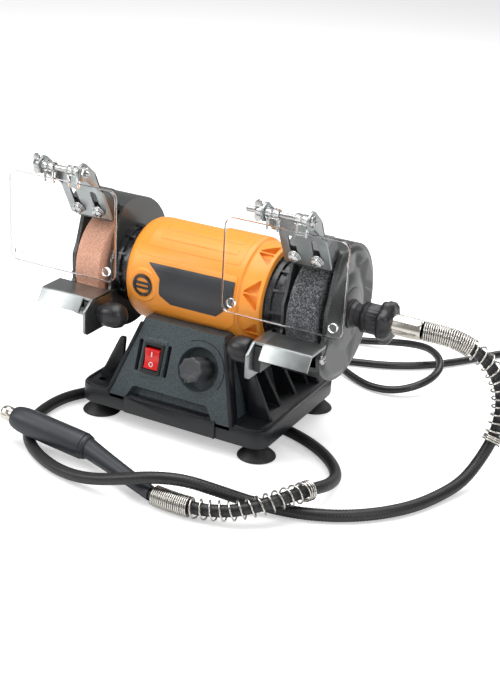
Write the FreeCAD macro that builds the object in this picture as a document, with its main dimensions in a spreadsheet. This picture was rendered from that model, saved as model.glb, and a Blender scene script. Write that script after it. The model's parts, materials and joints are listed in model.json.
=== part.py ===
"""Small bench grinder with two wheels, and a flexible shaft with a handpiece, in millimetres.

Every piece is drawn with the spindle's axis along X, above the origin, and the front towards -Y.
The whole part is then moved along Y until the origin is under the middle of its footprint.
"""
import FreeCAD, Part
import math
import os
import re
import Sketcher
from FreeCAD import Placement, Rotation, Vector

SIZES = {
    # wheels and spindle
    "wheel_dia": 75, "wheel_width": 20, "wheel_bore": 10, "wheel_mid": 84.5, "spindle_z": 100.6,
    "fit_gap": 0.05, "body_gap": 0.3, "flange_dia": 30, "flange_thick": 2, "nut_flats": 17, "nut_thick": 4.5,
    "shaft_left": 102.5, "shaft_right": 114, "journal_dia": 15, "bearing_dia": 30, "bearing_width": 9,
    "bearing_mid": 60.5, "race_thick": 3,
    # guards
    "guard_dia": 96, "guard_wall": 2, "guard_inner": 68, "guard_end": 98.5, "guard_outer": 101.3,
    "boss_dia": 38, "boss_out": 106, "boss_wall": 2.2, "screw_dia": 4, "screw_head": 7.5, "head_thick": 2.4,
    "arm_in": 65.3, "arm_top": 88, "arm_low": 70, "arm_front": 61, "arm_back": 27, "lug_half": 13.5,
    "lug_deep": 16, "lug_high": 19, "lug_start": -5,
    # motor
    "motor_dia": 74.8, "motor_wall": 2.5, "motor_half": 54.2, "hub_dia": 58, "core_length": 40,
    "core_bore": 40, "air_gap": 0.5, "winding_length": 8, "commutator_dia": 22, "commutator_length": 13,
    "brush_x": -36.7, "brush_size": 6, "holder_size": 9, "cap_dia": 16, "cap_proud": 2.2, "fan_x": 40,
    "fan_dia": 60, "blade_height": 8, "blade_thick": 1.4, "disc_thick": 1.6,
    # base
    "plinth_x": 75, "plinth_y": 60, "plinth_low": 11, "plinth_top": 24.5, "base_wall": 2.5, "corner": 14,
    "panel_top": 79, "panel_rake": 18.5, "panel_left": -31.5, "panel_right": 32, "panel_flare": 17,
    "panel_tilt": 18.75, "foot_x": 64, "foot_y": 46, "cup_dia": 27.4, "foot_stud_dia": 6, "bottom_thick": 2,
    "fin_thick": 4, "fin_foot": 66, "fin_inset": 27,
    "board_wide": 50, "board_deep": 40, "board_thick": 1.6, "board_up": 6,
    # switch and speed control
    "switch_x": -19.2, "switch_up": 30.7, "switch_wide": 16.4, "switch_high": 23, "switch_deep": 13,
    "rocker_wide": 11.4, "rocker_high": 16, "rocker_proud": 2.6, "rocker_turn": 20, "knob_x": 17,
    "knob_up": 31.5, "well_dia": 30, "well_deep": 9, "knob_dia": 18, "knob_proud": 12, "control_shaft": 6,
    "pot_dia": 18, "pot_long": 9,
    # tool rests
    "sheet_thick": 2, "rest_in": 63, "rest_wide": 43, "rest_z": 91, "rest_back": 39, "rest_front": 61,
    "rest_low": 66, "slot_front": 66, "slot_back": 41, "slot_wide": 6.6, "rest_stud_dia": 6,
    "rest_stud_y": 52, "rest_stud_z": 79, "grip_dia": 18.5, "grip_long": 22,
    "flange_deep": 34, "flange_tip": 70,
    # spark brackets and eye shields
    "bracket_x": 84.9, "bracket_wide": 33.4, "bracket_long": 44, "bracket_thick": 1.6, "bracket_lean": 28,
    "bracket_y": 30, "bracket_z": 140, "bracket_screw_up": 7, "bracket_slot": 20, "bracket_slot_wide": 5,
    "slot_apart": 16.2, "ear_low": 32, "hinge_up": 54, "hinge_out": 12.1, "hinge_dia": 4, "ear_dia": 10,
    "barrel_dia": 7.4,
    "barrel_long": 9, "barrel_apart": 20, "shield_wide": 87, "shield_high": 64.5, "shield_thick": 2,
    "shield_drop": 8.2, "wing_reach": 7.4,
    # coupling, flexible shaft and handpiece
    "spigot_dia": 16, "spigot_bore": 11, "spigot_end": 124, "knurl_dia": 21, "lobe_dia": 29, "nut_start": 115,
    "lobe_start": 128, "nut_end": 138, "ferrule_dia": 14.4, "ferrule_end": 158, "sheath_dia": 8.4,
    "spring_dia": 14.4, "spring_bore": 9, "handle_dia": 18.6, "handle_back": -24, "handle_y": -121.3,
    "handle_z": 12.6, "handle_long": 62, "handle_rise": 6.2, "tail_dia": 10, "collet_dia": 10.4,
    "collet_long": 9.5, "shank_dia": 3.2, "shank_deep": 20,
    # mains lead
    "gland_x": 10, "gland_z": 17.7, "gland_dia": 12, "gland_long": 24, "lead_dia": 6, "coil_x": 212,
    "coil_y": 240, "coil_outer": 84, "coil_inner": 56, "coil_high": 18.5, "plug_wide": 34, "plug_thick": 15,
    "plug_long": 38, "floor_gap": 0.2, "pin_dia": 4, "pin_long": 19, "pin_apart": 18.6,
}
# The flexible shaft's route, from the coupling's ferrule to the handpiece's tail, raised over each crossing.
SHEATH_ROUTE = [
    (158, 0, 100.6), (173, 3, 100), (188, 7, 95), (201, 12, 85), (210, 16, 70), (213, 18, 52), (212, 14, 33),
    (207, 3, 17), (202, -14, 7), (194, -36, 4.2), (184, -60, 4.2), (167, -82, 4.2), (145, -99, 4.2),
    (119, -109, 4.2), (96, -116, 8.5), (77, -126, 18.5), (59, -136, 27), (40, -145, 27), (19, -150, 19),
    (-4, -151, 9), (-28, -146, 4.5), (-53, -137, 4.2), (-75, -121, 4.2), (-89, -99, 4.2), (-94, -75, 4.2),
    (-92, -50, 4.2), (-79, -29, 4.2), (-58, -16, 4.2), (-30, -8, 4.2), (2, -3, 4.2), (34, -2, 4.2),
    (64, -6, 4.2), (90, -15, 4.2), (112, -30, 4.2), (127, -50, 5.5), (132, -73, 12), (129, -95, 20),
    (120, -115, 21), (105, -131, 15), (88, -140, 9.5), (63, -145, 7.5), (38, -142, 7.5),
]
# The mains lead's route, from the strain relief round one loop, behind the base and out to the stored coil.
LEAD_ROUTE = [
    (10, 84, 17.7), (14, 99, 15), (24, 110, 12), (38, 116, 8), (55, 114, 5), (71, 105, 3.2), (88, 97, 3.2),
    (107, 98, 4.5), (122, 108, 8.5), (130, 125, 12.5), (128, 145, 16), (112, 165, 16.5), (92, 177, 12),
    (70, 181, 7), (47, 177, 3.5), (23, 172, 3.2), (-2, 172, 3.2), (-27, 171, 3.2), (-47, 161, 3.2),
    (-57, 141, 3.2), (-54, 120, 3.2), (-38, 105, 3.2), (-16, 102, 3.2), (8, 111, 3.2), (32, 124, 3.2),
    (57, 133, 3.2), (85, 143, 3.2), (111, 162, 3.2), (132, 188, 3.2), (150, 216, 3.2), (166, 239, 3.2),
    (181, 259, 3.2),
]
# How many lines and arcs of the route each protecting spring covers.
NEAR_SPRING_RUNS, FAR_SPRING_RUNS = 13, 11
TAIL_ROUTE = [(251, 240, 7.7), (251, 213, 7.7)]

doc = FreeCAD.newDocument("BenchGrinder")
sheet = doc.addObject("Spreadsheet::Sheet", "Sheet")
NODES = {}
ALONG = {"X": Rotation(Vector(0, 0, 1), Vector(1, 0, 0)), "Y": Rotation(Vector(0, 0, 1), Vector(0, 1, 0)),
         "-Y": Rotation(Vector(0, 0, 1), Vector(0, -1, 0)), "Z": Rotation()}
SIDES = (("left", -1), ("right", 1))
# These pieces lie on a free cord, so the footprint that the origin is centred under leaves them out.
ON_A_CORD = ("flex_sheath", "bend_springs", "coupling_ferrule", "coupling_nut", "cord_gland", "mains_lead",
             "lead_tail", "lead_coil", "plug_body", "plug_pins")


def fill_sheet():
    cells = dict(SIZES, spindle_y=0)
    for row, (alias, value) in enumerate(cells.items(), 1):
        sheet.set("A%d" % row, alias)
        sheet.set("B%d" % row, str(value))
        sheet.setAlias("B%d" % row, alias)
    doc.recompute()


def linked(text):
    """An expression's text with each size's name tied to its cell."""
    return re.sub(r"[a-z]\w*", lambda m: ("Sheet." if m.group() in SIZES else "") + m.group(), str(text))


def size(text):
    """The present value of an expression of sizes."""
    return float(sheet.evalExpression(linked(text)))


def bind(solid, **sizes):
    for name, text in sizes.items():
        solid.setExpression(name, linked(text))
    return solid


def place(solid, at, turn=None):
    if turn is not None:
        solid.Placement = Placement(Vector(), turn)
    for axis, text in zip("xyz", at):
        solid.setExpression("Placement.Base." + axis, linked(text))
    return solid


def box(name, wide, deep, high, at, turn=None):
    """A box from the corner with its lowest X, Y and Z."""
    return place(bind(doc.addObject("Part::Box", name), Length=wide, Width=deep, Height=high), at, turn)


def rod(name, dia, length, at, along="Z", turn=None):
    solid = bind(doc.addObject("Part::Cylinder", name), Radius="(%s) / 2" % dia, Height=length)
    return place(solid, at, (turn or Rotation()).multiply(ALONG[along]))


def cone(name, start_dia, end_dia, length, at, along="Z", turn=None):
    solid = bind(doc.addObject("Part::Cone", name), Radius1="(%s) / 2" % start_dia,
                 Radius2="(%s) / 2" % end_dia, Height=length)
    return place(solid, at, (turn or Rotation()).multiply(ALONG[along]))


def hexagon(name, flats, length, at, along="X"):
    solid = bind(doc.addObject("Part::Prism", name), Height=length,
                 Circumradius="(%s) / 2 / cos(30deg)" % flats)
    solid.Polygon = 6
    return place(solid, at, ALONG[along])


def join(name, *solids):
    if len(solids) == 1:
        return solids[0]
    fused = doc.addObject("Part::MultiFuse", name)
    fused.Shapes = list(solids)
    fused.Refine = True
    return fused


def cut(name, base, *tools):
    result = doc.addObject("Part::Cut", name)
    result.Base = base
    result.Tool = join(name + "_tools", *tools)
    return result


def tube(name, dia, bore, length, at, along="Z"):
    return cut(name, rod(name + "_outside", dia, length, at, along),
               rod(name + "_bore", bore, length, at, along))


def group(name, solids):
    """Separate equal pieces that share one node."""
    result = doc.addObject("Part::Compound", name)
    result.Links = list(solids)
    return result


def node(name, solid):
    solid.Label = name
    NODES[name] = solid
    return solid


def span(side, near, far):
    """The lowest X and the length of a stretch between two distances from the middle."""
    return ("%s" % near if side > 0 else "-(%s)" % far), "(%s) - (%s)" % (far, near)


def prism(name, plane, outline, start, length):
    """A body whose outline is a sketch on an origin plane, padded along that plane's axis from start."""
    body = doc.addObject("PartDesign::Body", name)
    sketch = body.newObject("Sketcher::SketchObject", name + "_outline")
    sketch.AttachmentSupport = [(next(f for f in body.Origin.OriginFeatures if f.Role == plane), "")]
    sketch.MapMode = "FlatFace"
    corners = [(size(across), size(up)) for across, up in outline]
    count = len(corners)
    for i in range(count):
        sketch.addGeometry(Part.LineSegment(Vector(*corners[i], 0), Vector(*corners[(i + 1) % count], 0)))
    for i in range(count):
        sketch.addConstraint(Sketcher.Constraint("Coincident", i, 2, (i + 1) % count, 1))
    for i in range(count):
        for kind, value, text in zip(("DistanceX", "DistanceY"), corners[i], outline[i]):
            index = sketch.addConstraint(Sketcher.Constraint(kind, -1, 1, i, 1, value))
            sketch.renameConstraint(index, "%s%d" % (kind, i))
            sketch.setExpression("Constraints.%s%d" % (kind, i), linked(text))
    backwards = plane == "XZ_Plane"
    sketch.setExpression("AttachmentOffset.Base.z", linked("-(%s)" % start if backwards else start))
    pad = body.newObject("PartDesign::Pad", name + "_pad")
    pad.Profile = sketch
    pad.Reversed = backwards
    pad.setExpression("Length", linked(length))
    return body


def shape_node(name, shape):
    """A piece whose shape is worked out directly."""
    solid = doc.addObject("Part::Feature", name)
    solid.Shape = shape
    solid.Placement = Placement()
    return node(name, solid)


def rounded(name, solid, radius, chosen):
    """Fillets on the edges of a solid that the test picks."""
    doc.recompute()
    picked = [i for i, edge in enumerate(solid.Shape.Edges, 1) if chosen(edge)]
    result = doc.addObject("Part::Fillet", name)
    result.Base = solid
    result.Edges = [(i, size(radius), size(radius)) for i in picked]
    return result


def runs_along(edge, axis):
    return edge.Curve.TypeId == "Part::GeomLine" and abs(getattr(edge.Curve.Direction, axis)) > 0.999


# A leaning plane: where its lower edge is, and how far its top leans forward.

def leaning(y, z, lean):
    sine, cosine = "sin((%s) * 1deg)" % lean, "cos((%s) * 1deg)" % lean

    def at(x, out, up):
        return (x, "%s - (%s) * %s - (%s) * %s" % (y, up, sine, out, cosine),
                "%s + (%s) * %s - (%s) * %s" % (z, up, cosine, out, sine))
    return at, Rotation(Vector(1, 0, 0), size(lean))


# ---------------------------------------------------------------- base

def feet():
    return [("%d * foot_x" % across, "%d * foot_y" % deep) for across in (-1, 1) for deep in (-1, 1)]


def add_base():
    plinth = box("plinth", "plinth_x * 2", "plinth_y * 2", "plinth_top - plinth_low",
                 ("-plinth_x", "-plinth_y", "plinth_low"))
    plinth = rounded("plinth_round", plinth, "corner", lambda e: runs_along(e, "z"))
    side = [("-plinth_y", "plinth_top - 4"), ("plinth_y", "plinth_top - 4"), ("plinth_y", "plinth_top"),
            ("plinth_y - panel_rake", "panel_top"), ("panel_rake - plinth_y", "panel_top"),
            ("-plinth_y", "plinth_top")]
    front = [("panel_left - panel_flare", "plinth_top - 4"),
             ("panel_right + panel_flare", "plinth_top - 4"),
             ("panel_right", "panel_top"), ("panel_left", "panel_top")]
    tower = doc.addObject("Part::MultiCommon", "tower")
    tower.Shapes = [prism("tower_side", "YZ_Plane", side, "panel_left - panel_flare",
                          "panel_right - panel_left + panel_flare * 2"),
                    prism("tower_front", "XZ_Plane", front, "-plinth_y", "plinth_y * 2")]
    fin = [("-fin_foot", "plinth_top - 2"), ("fin_foot", "plinth_top - 2"), ("panel_right", "panel_top - 3"),
           ("panel_left", "panel_top - 3")]
    fins = [prism("fin%d" % i, "XZ_Plane", fin, at, "fin_thick")
            for i, at in enumerate(("-plinth_y + fin_inset", "-fin_thick / 2",
                                    "plinth_y - fin_inset - fin_thick"))]
    hollow = box("plinth_hollow", "(plinth_x - base_wall) * 2", "(plinth_y - base_wall) * 2",
                 "plinth_top - plinth_low - base_wall",
                 ("base_wall - plinth_x", "base_wall - plinth_y", "plinth_low"))
    hollow = rounded("hollow_round", hollow, "corner - base_wall", lambda e: runs_along(e, "z"))
    room_side = [("base_wall * 1.2 - plinth_y", "plinth_low + 2"),
                 ("plinth_y - base_wall * 1.2", "plinth_low + 2"),
                 ("plinth_y - base_wall * 1.2", "plinth_top"),
                 ("plinth_y - panel_rake - base_wall * 1.2", "panel_top - base_wall"),
                 ("panel_rake + base_wall * 1.2 - plinth_y", "panel_top - base_wall"),
                 ("base_wall * 1.2 - plinth_y", "plinth_top")]
    room = prism("tower_room", "YZ_Plane", room_side, "panel_left + base_wall",
                 "panel_right - panel_left - base_wall * 2")
    saddle = rod("saddle", "motor_dia", "plinth_x * 2", ("-plinth_x", "0", "spindle_z"), "X")
    panel, tilt = leaning("-plinth_y", "plinth_top", "-panel_tilt")
    well = rod("well_hole", "well_dia", "well_deep + 1", panel("knob_x", "-well_deep", "knob_up"), "-Y", tilt)
    opening = box("switch_hole", "switch_wide - 2", "20", "switch_high - 2",
                  panel("switch_x - switch_wide / 2 + 1", "5", "switch_up - switch_high / 2 + 1"), tilt)
    holes = [rod("foot_hole%d" % i, "foot_stud_dia + 0.1", "plinth_top", (x, y, "plinth_low - 1"))
             for i, (x, y) in enumerate(feet())]
    gland = rod("gland_hole", "gland_dia / 2", "20", ("gland_x", "plinth_y - 10", "gland_z"), "Y")
    cup = rod("well_cup", "well_dia + base_wall * 2", "well_deep + base_wall",
              panel("knob_x", "-well_deep - base_wall", "knob_up"), "-Y", tilt)
    bush = rod("bush_hole", "control_shaft + 1", "20", panel("knob_x", "-well_deep - 15", "knob_up"), "-Y",
               tilt)
    bosses = [rod("boss%d" % i, "foot_stud_dia + 6", "plinth_top - plinth_low - 0.5", (x, y, "plinth_low"))
              for i, (x, y) in enumerate(feet())]
    shell = cut("shell", join("base_outer", plinth, tower, *fins), hollow, room)
    whole = join("base_whole", shell, cup, *bosses)
    node("base_housing", cut("base_cut", whole, saddle, well, opening, gland, bush, *holes))


def add_bottom():
    plate = box("bottom_blank", "(plinth_x - base_wall - body_gap) * 2",
                "(plinth_y - base_wall - body_gap) * 2",
                "bottom_thick", ("body_gap + base_wall - plinth_x", "body_gap + base_wall - plinth_y",
                                 "plinth_low"))
    plate = rounded("bottom_round", plate, "corner - base_wall", lambda e: runs_along(e, "z"))
    holes = [rod("bottom_hole%d" % i, "foot_stud_dia + 6.6", "10", (x, y, "plinth_low - 2"))
             for i, (x, y) in enumerate(feet())]
    node("bottom_plate", cut("bottom_cut", plate, *holes))
    cups = []
    for i, (x, y) in enumerate(feet()):
        skirt = cone("cup%d" % i, "cup_dia", "foot_stud_dia + 4", "plinth_low - 3", (x, y, "0"))
        neck = rod("neck%d" % i, "foot_stud_dia + 5", "3", (x, y, "plinth_low - 3"))
        stud = rod("stud%d" % i, "foot_stud_dia", "plinth_top - plinth_low - 4", (x, y, "plinth_low"))
        dish = cone("dish%d" % i, "cup_dia - 3", "foot_stud_dia", "plinth_low - 7", (x, y, "0"))
        cups.append(cut("foot%d" % i, join("foot_whole%d" % i, skirt, neck, stud), dish))
    node("suction_feet", group("feet", cups))
    board = box("board", "board_wide", "board_deep", "board_thick",
                ("-30", "-board_deep / 2", "plinth_low + bottom_thick + board_up"))
    posts = [rod("post%d" % i, "5", "board_up", (x, y, "plinth_low + bottom_thick")) for i, (x, y) in
             enumerate(((-26, -16), (-26, 16), (16, -16), (16, 16)))]
    parts = [box("heat_sink", "14", "4", "18",
                 ("-22", "8", "plinth_low + bottom_thick + board_up + board_thick")),
             rod("capacitor", "10", "14", ("6", "6", "plinth_low + bottom_thick + board_up + board_thick"))]
    node("control_board", join("board_whole", board, *posts, *parts))


def add_controls():
    panel, tilt = leaning("-plinth_y", "plinth_top", "-panel_tilt")
    flange = box("bezel", "switch_wide", "2", "switch_high",
                 panel("switch_x - switch_wide / 2", "2", "switch_up - switch_high / 2"), tilt)
    body = box("switch_body", "switch_wide - 2.4", "switch_deep", "switch_high - 2.4",
               panel("switch_x - switch_wide / 2 + 1.2", "0", "switch_up - switch_high / 2 + 1.2"), tilt)
    well = box("rocker_well", "rocker_wide + 1", "12", "rocker_high + 1",
               panel("switch_x - rocker_wide / 2 - 0.5", "3", "switch_up - rocker_high / 2 - 0.5"), tilt)
    node("switch_frame", cut("switch_cut", join("switch_whole", flange, body), well))
    lean = "rocker_turn / 2 - panel_tilt"
    tipped, turn = leaning("-plinth_y + switch_up * sin(panel_tilt * 1deg)",
                           "plinth_top + switch_up * cos(panel_tilt * 1deg)", lean)
    paddle = box("paddle", "rocker_wide", "5", "rocker_high - 1.6",
                 tipped("switch_x - rocker_wide / 2", "rocker_proud", "0.8 - rocker_high / 2"), turn)
    axle = rod("rocker_axle", "4", "rocker_wide + 0.8", tipped("switch_x - rocker_wide / 2 - 0.4", "-2.4",
                                                               "0"), "X")
    node("rocker", join("rocker_whole", paddle, axle))
    blank = rod("knob_blank", "knob_dia", "well_deep + knob_proud - body_gap",
                panel("knob_x", "body_gap - well_deep", "knob_up"), "-Y", tilt)
    bites = []
    for i in range(8):
        angle = "%d * 45deg + 22.5deg" % i
        bites.append(rod("bite%d" % i, "4.4", "well_deep + knob_proud + 2",
                         panel("knob_x + (knob_dia / 2 + 1.3) * cos(%s)" % angle, "-well_deep - 1",
                               "knob_up + (knob_dia / 2 + 1.3) * sin(%s)" % angle), "-Y", tilt))
    shaft = rod("control_spindle", "control_shaft", "base_wall + 6",
                panel("knob_x", "-well_deep - base_wall - 5", "knob_up"), "-Y", tilt)
    node("speed_knob", join("knob_whole", cut("knob_cut", blank, *bites), shaft))
    case = rod("pot_case", "pot_dia", "pot_long", panel("knob_x", "-well_deep - base_wall - 10", "knob_up"),
               "-Y", tilt)
    bore = rod("pot_bore", "control_shaft + fit_gap * 2", "8",
               panel("knob_x", "-well_deep - base_wall - 6", "knob_up"), "-Y", tilt)
    collar = rod("pot_collar", "control_shaft + 0.8", "base_wall + 0.5",
                 panel("knob_x", "-well_deep - base_wall - 1", "knob_up"), "-Y", tilt)
    node("potentiometer", cut("pot_cut", join("pot_whole", case, collar), bore))


# ---------------------------------------------------------------- motor

def add_motor():
    housing = tube("motor_tube", "motor_dia", "motor_dia - motor_wall * 2", "motor_half * 2",
                   ("-motor_half", "0", "spindle_z"), "X")
    ports = [rod("cap_port%d" % i, "cap_dia", "14", ("brush_x", y, "spindle_z"), "Y")
             for i, y in enumerate(("-motor_dia / 2 - 3", "motor_dia / 2 - 11"))]
    node("motor_housing", cut("motor_cut", housing, *ports))
    for name, side in SIDES:
        start, length = span(side, "motor_half", "guard_inner")
        hub = rod("hub_" + name, "hub_dia", length, (start, "0", "spindle_z"), "X")
        start, length = span(side, "motor_half - 5", "motor_half")
        plug = rod("hub_plug_" + name, "motor_dia - motor_wall * 2", length, (start, "0", "spindle_z"), "X")
        start, length = span(side, "bearing_mid - bearing_width / 2", "bearing_mid + bearing_width / 2")
        seat = rod("seat_" + name, "bearing_dia", length, (start, "0", "spindle_z"), "X")
        start, length = span(side, "motor_half - 6", "guard_inner + 1")
        way = rod("way_" + name, "journal_dia + 3", length, (start, "0", "spindle_z"), "X")
        node("end_bracket_" + name, cut("bracket_cut_" + name, join("hub_whole_" + name, hub, plug), seat,
                                        way))
    node("stator_core", tube("stator", "motor_dia - motor_wall * 2", "core_bore", "core_length",
                             ("-core_length / 2", "0", "spindle_z"), "X"))
    coils = [tube("field_coil%d" % i, "motor_dia - motor_wall * 2 - 4", "core_bore + 3", "winding_length",
                  (start, "0", "spindle_z"), "X")
             for i, start in enumerate(("-core_length / 2 - winding_length", "core_length / 2"))]
    node("field_coils", group("coils", coils))
    reach = "motor_dia / 2 - motor_wall"
    inside = "commutator_dia / 2 + 1.5"
    brushes, holders, caps = [], [], []
    for i, side in enumerate((-1, 1)):
        start, length = span(side, inside, reach)
        case = box("holder_case%d" % i, "holder_size", length, "holder_size",
                   ("brush_x - holder_size / 2", start, "spindle_z - holder_size / 2"))
        start, length = span(side, "commutator_dia / 2 - 1", "motor_dia / 2")
        way = box("brush_way%d" % i, "brush_size + 0.2", length, "brush_size + 0.2",
                  ("brush_x - brush_size / 2 - 0.1", start, "spindle_z - brush_size / 2 - 0.1"))
        holders.append(cut("holder%d" % i, case, way))
        start, length = span(side, "commutator_dia / 2 + body_gap", reach + " - 3")
        brushes.append(box("brush%d" % i, "brush_size", length, "brush_size",
                           ("brush_x - brush_size / 2", start, "spindle_z - brush_size / 2")))
        start, length = span(side, reach, "motor_dia / 2 + cap_proud")
        cap = rod("cap%d" % i, "cap_dia - 0.2", length, ("brush_x", start, "spindle_z"), "Y")
        start, length = span(side, "motor_dia / 2 + cap_proud - 1.2", "motor_dia / 2 + cap_proud + 1")
        slot = box("cap_slot%d" % i, "cap_dia - 5", length, "1.8",
                   ("brush_x - cap_dia / 2 + 2.5", start, "spindle_z - 0.9"))
        caps.append(cut("cap_cut%d" % i, cap, slot))
    node("brush_holders", group("holders", holders))
    node("carbon_brushes", group("brushes", brushes))
    node("brush_caps", group("caps", caps))


def add_spindle():
    thin = rod("shaft_thin", "wheel_bore - fit_gap * 2", "shaft_left + shaft_right",
               ("-shaft_left", "0", "spindle_z"), "X")
    journal = "bearing_mid - bearing_width / 2 - 0.5"
    thick = rod("shaft_thick", "journal_dia", "(%s) * 2" % journal, ("-(%s)" % journal, "0", "spindle_z"),
                "X")
    node("spindle_shaft", join("shaft", thin, thick))
    node("armature_core", tube("armature", "core_bore - air_gap * 2", "journal_dia", "core_length",
                               ("-core_length / 2", "0", "spindle_z"), "X"))
    ends = [tube("winding%d" % i, "core_bore - 8", "journal_dia", "winding_length",
                 (start, "0", "spindle_z"), "X")
            for i, start in enumerate(("-core_length / 2 - winding_length", "core_length / 2"))]
    node("armature_windings", group("windings", ends))
    node("commutator", tube("commutator_ring", "commutator_dia", "journal_dia", "commutator_length - 4",
                            ("brush_x - commutator_length / 2 + 2", "0", "spindle_z"), "X"))
    disc = rod("fan_disc", "fan_dia", "disc_thick", ("fan_x", "0", "spindle_z"), "X")
    boss = rod("fan_boss", "journal_dia + 7", "blade_height", ("fan_x - blade_height", "0", "spindle_z"), "X")
    blades = []
    for i in range(9):
        blade = box("blade%d" % i, "blade_height", "fan_dia / 2 - journal_dia / 2 - 4", "blade_thick",
                    ("fan_x - blade_height", "(journal_dia / 2 + 3) * cos(%d * 40deg)" % i,
                     "spindle_z + (journal_dia / 2 + 3) * sin(%d * 40deg)" % i), Rotation(Vector(1, 0, 0), i
                                                                                          * 40))
        blades.append(blade)
    hole = rod("fan_hole", "journal_dia", "blade_height + 4",
               ("fan_x - blade_height - 1", "0", "spindle_z"), "X")
    node("cooling_fan", cut("fan", join("fan_whole", disc, boss, *blades), hole))
    outers, inners = [], []
    flanges, nuts = [], []
    for name, side in SIDES:
        start, length = span(side, "bearing_mid - bearing_width / 2", "bearing_mid + bearing_width / 2")
        at = (start, "0", "spindle_z")
        outers.append(tube("outer_race_" + name, "bearing_dia", "bearing_dia - race_thick * 2", length, at,
                           "X"))
        inners.append(tube("inner_race_" + name, "wheel_bore + race_thick * 2", "wheel_bore", length, at,
                           "X"))
        near = "wheel_mid - wheel_width / 2"
        far = "wheel_mid + wheel_width / 2"
        start, length = span(side, near, far)
        node("wheel_" + name, tube("stone_" + name, "wheel_dia", "wheel_bore", length,
                                   (start, "0", "spindle_z"), "X"))
        start, length = span(side, "bearing_mid + bearing_width / 2 + 0.2", near)
        sleeve = rod("sleeve_" + name, "journal_dia", length, (start, "0", "spindle_z"), "X")
        start, length = span(side, near + " - flange_thick", near)
        disc = rod("flange_disc_" + name, "flange_dia", length, (start, "0", "spindle_z"), "X")
        start, length = span(side, "bearing_mid", far)
        hole = rod("flange_hole_" + name, "wheel_bore", length, (start, "0", "spindle_z"), "X")
        flanges.append(cut("inner_flange_" + name, join("flange_body_" + name, sleeve, disc), hole))
        start, length = span(side, far, far + " + flange_thick")
        flanges.append(tube("outer_flange_" + name, "flange_dia", "wheel_bore", length,
                            (start, "0", "spindle_z"), "X"))
        start, length = span(side, far + " + flange_thick", far + " + flange_thick + nut_thick")
        nut = hexagon("nut_" + name, "nut_flats", length, (start, "0", "spindle_z"))
        tap = rod("tap_" + name, "wheel_bore", length, (start, "0", "spindle_z"), "X")
        nuts.append(cut("spindle_nut_" + name, nut, tap))
    node("bearing_outer_rings", group("outer_rings", outers))
    node("bearing_inner_rings", group("inner_rings", inners))
    node("wheel_flanges", group("flanges", flanges))
    node("spindle_nuts", group("nuts", nuts))


# ---------------------------------------------------------------- guards

# The mouth of the guard, seen along the spindle, as points ahead of and above the spindle.
MOUTH = [(-13, 48), (-20, 38.4), (-27, 16.4), (-31, 8.4), (-30, -10.6), (-37, -22.6), (-34, -35), (-60, -35),
         (-60, 48)]
COVER_SCREWS = [(-10.6, 38.2), (-33.5, -22.9)]


def mouth():
    return [("%g" % y, "spindle_z + %g" % z) for y, z in MOUTH]


def add_guard(name, side):
    axis = ("0", "spindle_z")
    start, length = span(side, "guard_inner", "guard_end")
    drum = rod("drum_" + name, "guard_dia", length, (start, *axis), "X")
    far_start, far_length = span(side, "guard_inner - 1", "guard_outer + 1")
    drum = cut("drum_open_" + name, drum, prism("mouth_" + name, "YZ_Plane", mouth(), far_start, far_length))
    arm_start, arm_length = span(side, "arm_in", "guard_inner + guard_wall")
    arm = box("arm_" + name, arm_length, "arm_front - arm_back", "arm_top - arm_low",
              (arm_start, "-arm_front", "arm_low"))
    plane, turn = leaning("-bracket_y", "bracket_z", "bracket_lean")
    lug = box("lug_" + name, "lug_half * 2", "lug_deep", "lug_high",
              plane("%d * bracket_x - lug_half" % side, "-body_gap", "lug_start"), turn)
    cavity_start, cavity_length = span(side, "guard_inner + guard_wall", "guard_end + 5")
    cavity = rod("cavity_" + name, "guard_dia - guard_wall * 2", cavity_length, (cavity_start, *axis), "X")
    way_start, way_length = span(side, "arm_in - 1", "guard_inner + guard_wall + 1")
    way = rod("guard_way_" + name, "hub_dia - 24", way_length, (way_start, *axis), "X")
    pin = rod("arm_hole_" + name, "rest_stud_dia + fit_gap * 2", way_length,
              (way_start, "-rest_stud_y", "rest_stud_z"), "X")
    taps = [rod("bracket_tap%d_%s" % (i, name), "screw_dia", "lug_deep",
                plane("%d * bracket_x + %s * slot_apart / 2" % (side, i), "-lug_deep + 4",
                      "bracket_screw_up"), "-Y", turn)
            for i in (-1, 1)]
    body = join("guard_whole_" + name, drum, arm, lug)
    node("guard_" + name, cut("guard_cut_" + name, body, cavity, way, pin, *taps))
    add_cover(name, side)
    add_rest(name, side)
    add_bracket(name, side)


def add_cover(name, side):
    axis = ("0", "spindle_z")
    start, length = span(side, "guard_end", "guard_outer")
    disc = rod("cover_disc_" + name, "guard_dia", length, (start, *axis), "X")
    mouth_start, mouth_length = span(side, "guard_end - 1", "guard_outer + 1")
    disc = cut("cover_open_" + name, disc, prism("cover_mouth_" + name, "YZ_Plane", mouth(), mouth_start,
                                                 mouth_length))
    start, length = span(side, "guard_end", "boss_out")
    boss = rod("cover_boss_" + name, "boss_dia", length, (start, *axis), "X")
    start, length = span(side, "guard_end - 1", "boss_out - boss_wall")
    pocket = rod("boss_pocket_" + name, "boss_dia - boss_wall * 2", length, (start, *axis), "X")
    tools = [pocket]
    if side > 0:
        tools.append(rod("spigot_way", "spigot_bore", "20", ("boss_out - 10", *axis), "X"))
    node("guard_cover_" + name, cut("cover_cut_" + name, join("cover_whole_" + name, disc, boss), *tools))


def add_cover_screws():
    screws = []
    for name, side in SIDES:
        for i, (y, z) in enumerate(COVER_SCREWS):
            start, length = span(side, "guard_outer", "guard_outer + head_thick")
            screws.append(rod("cover_screw_%s%d" % (name, i), "screw_head", length,
                              (start, "%g" % y, "spindle_z + %g" % z), "X"))
    node("cover_screws", group("cover_screw_set", screws))


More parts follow.
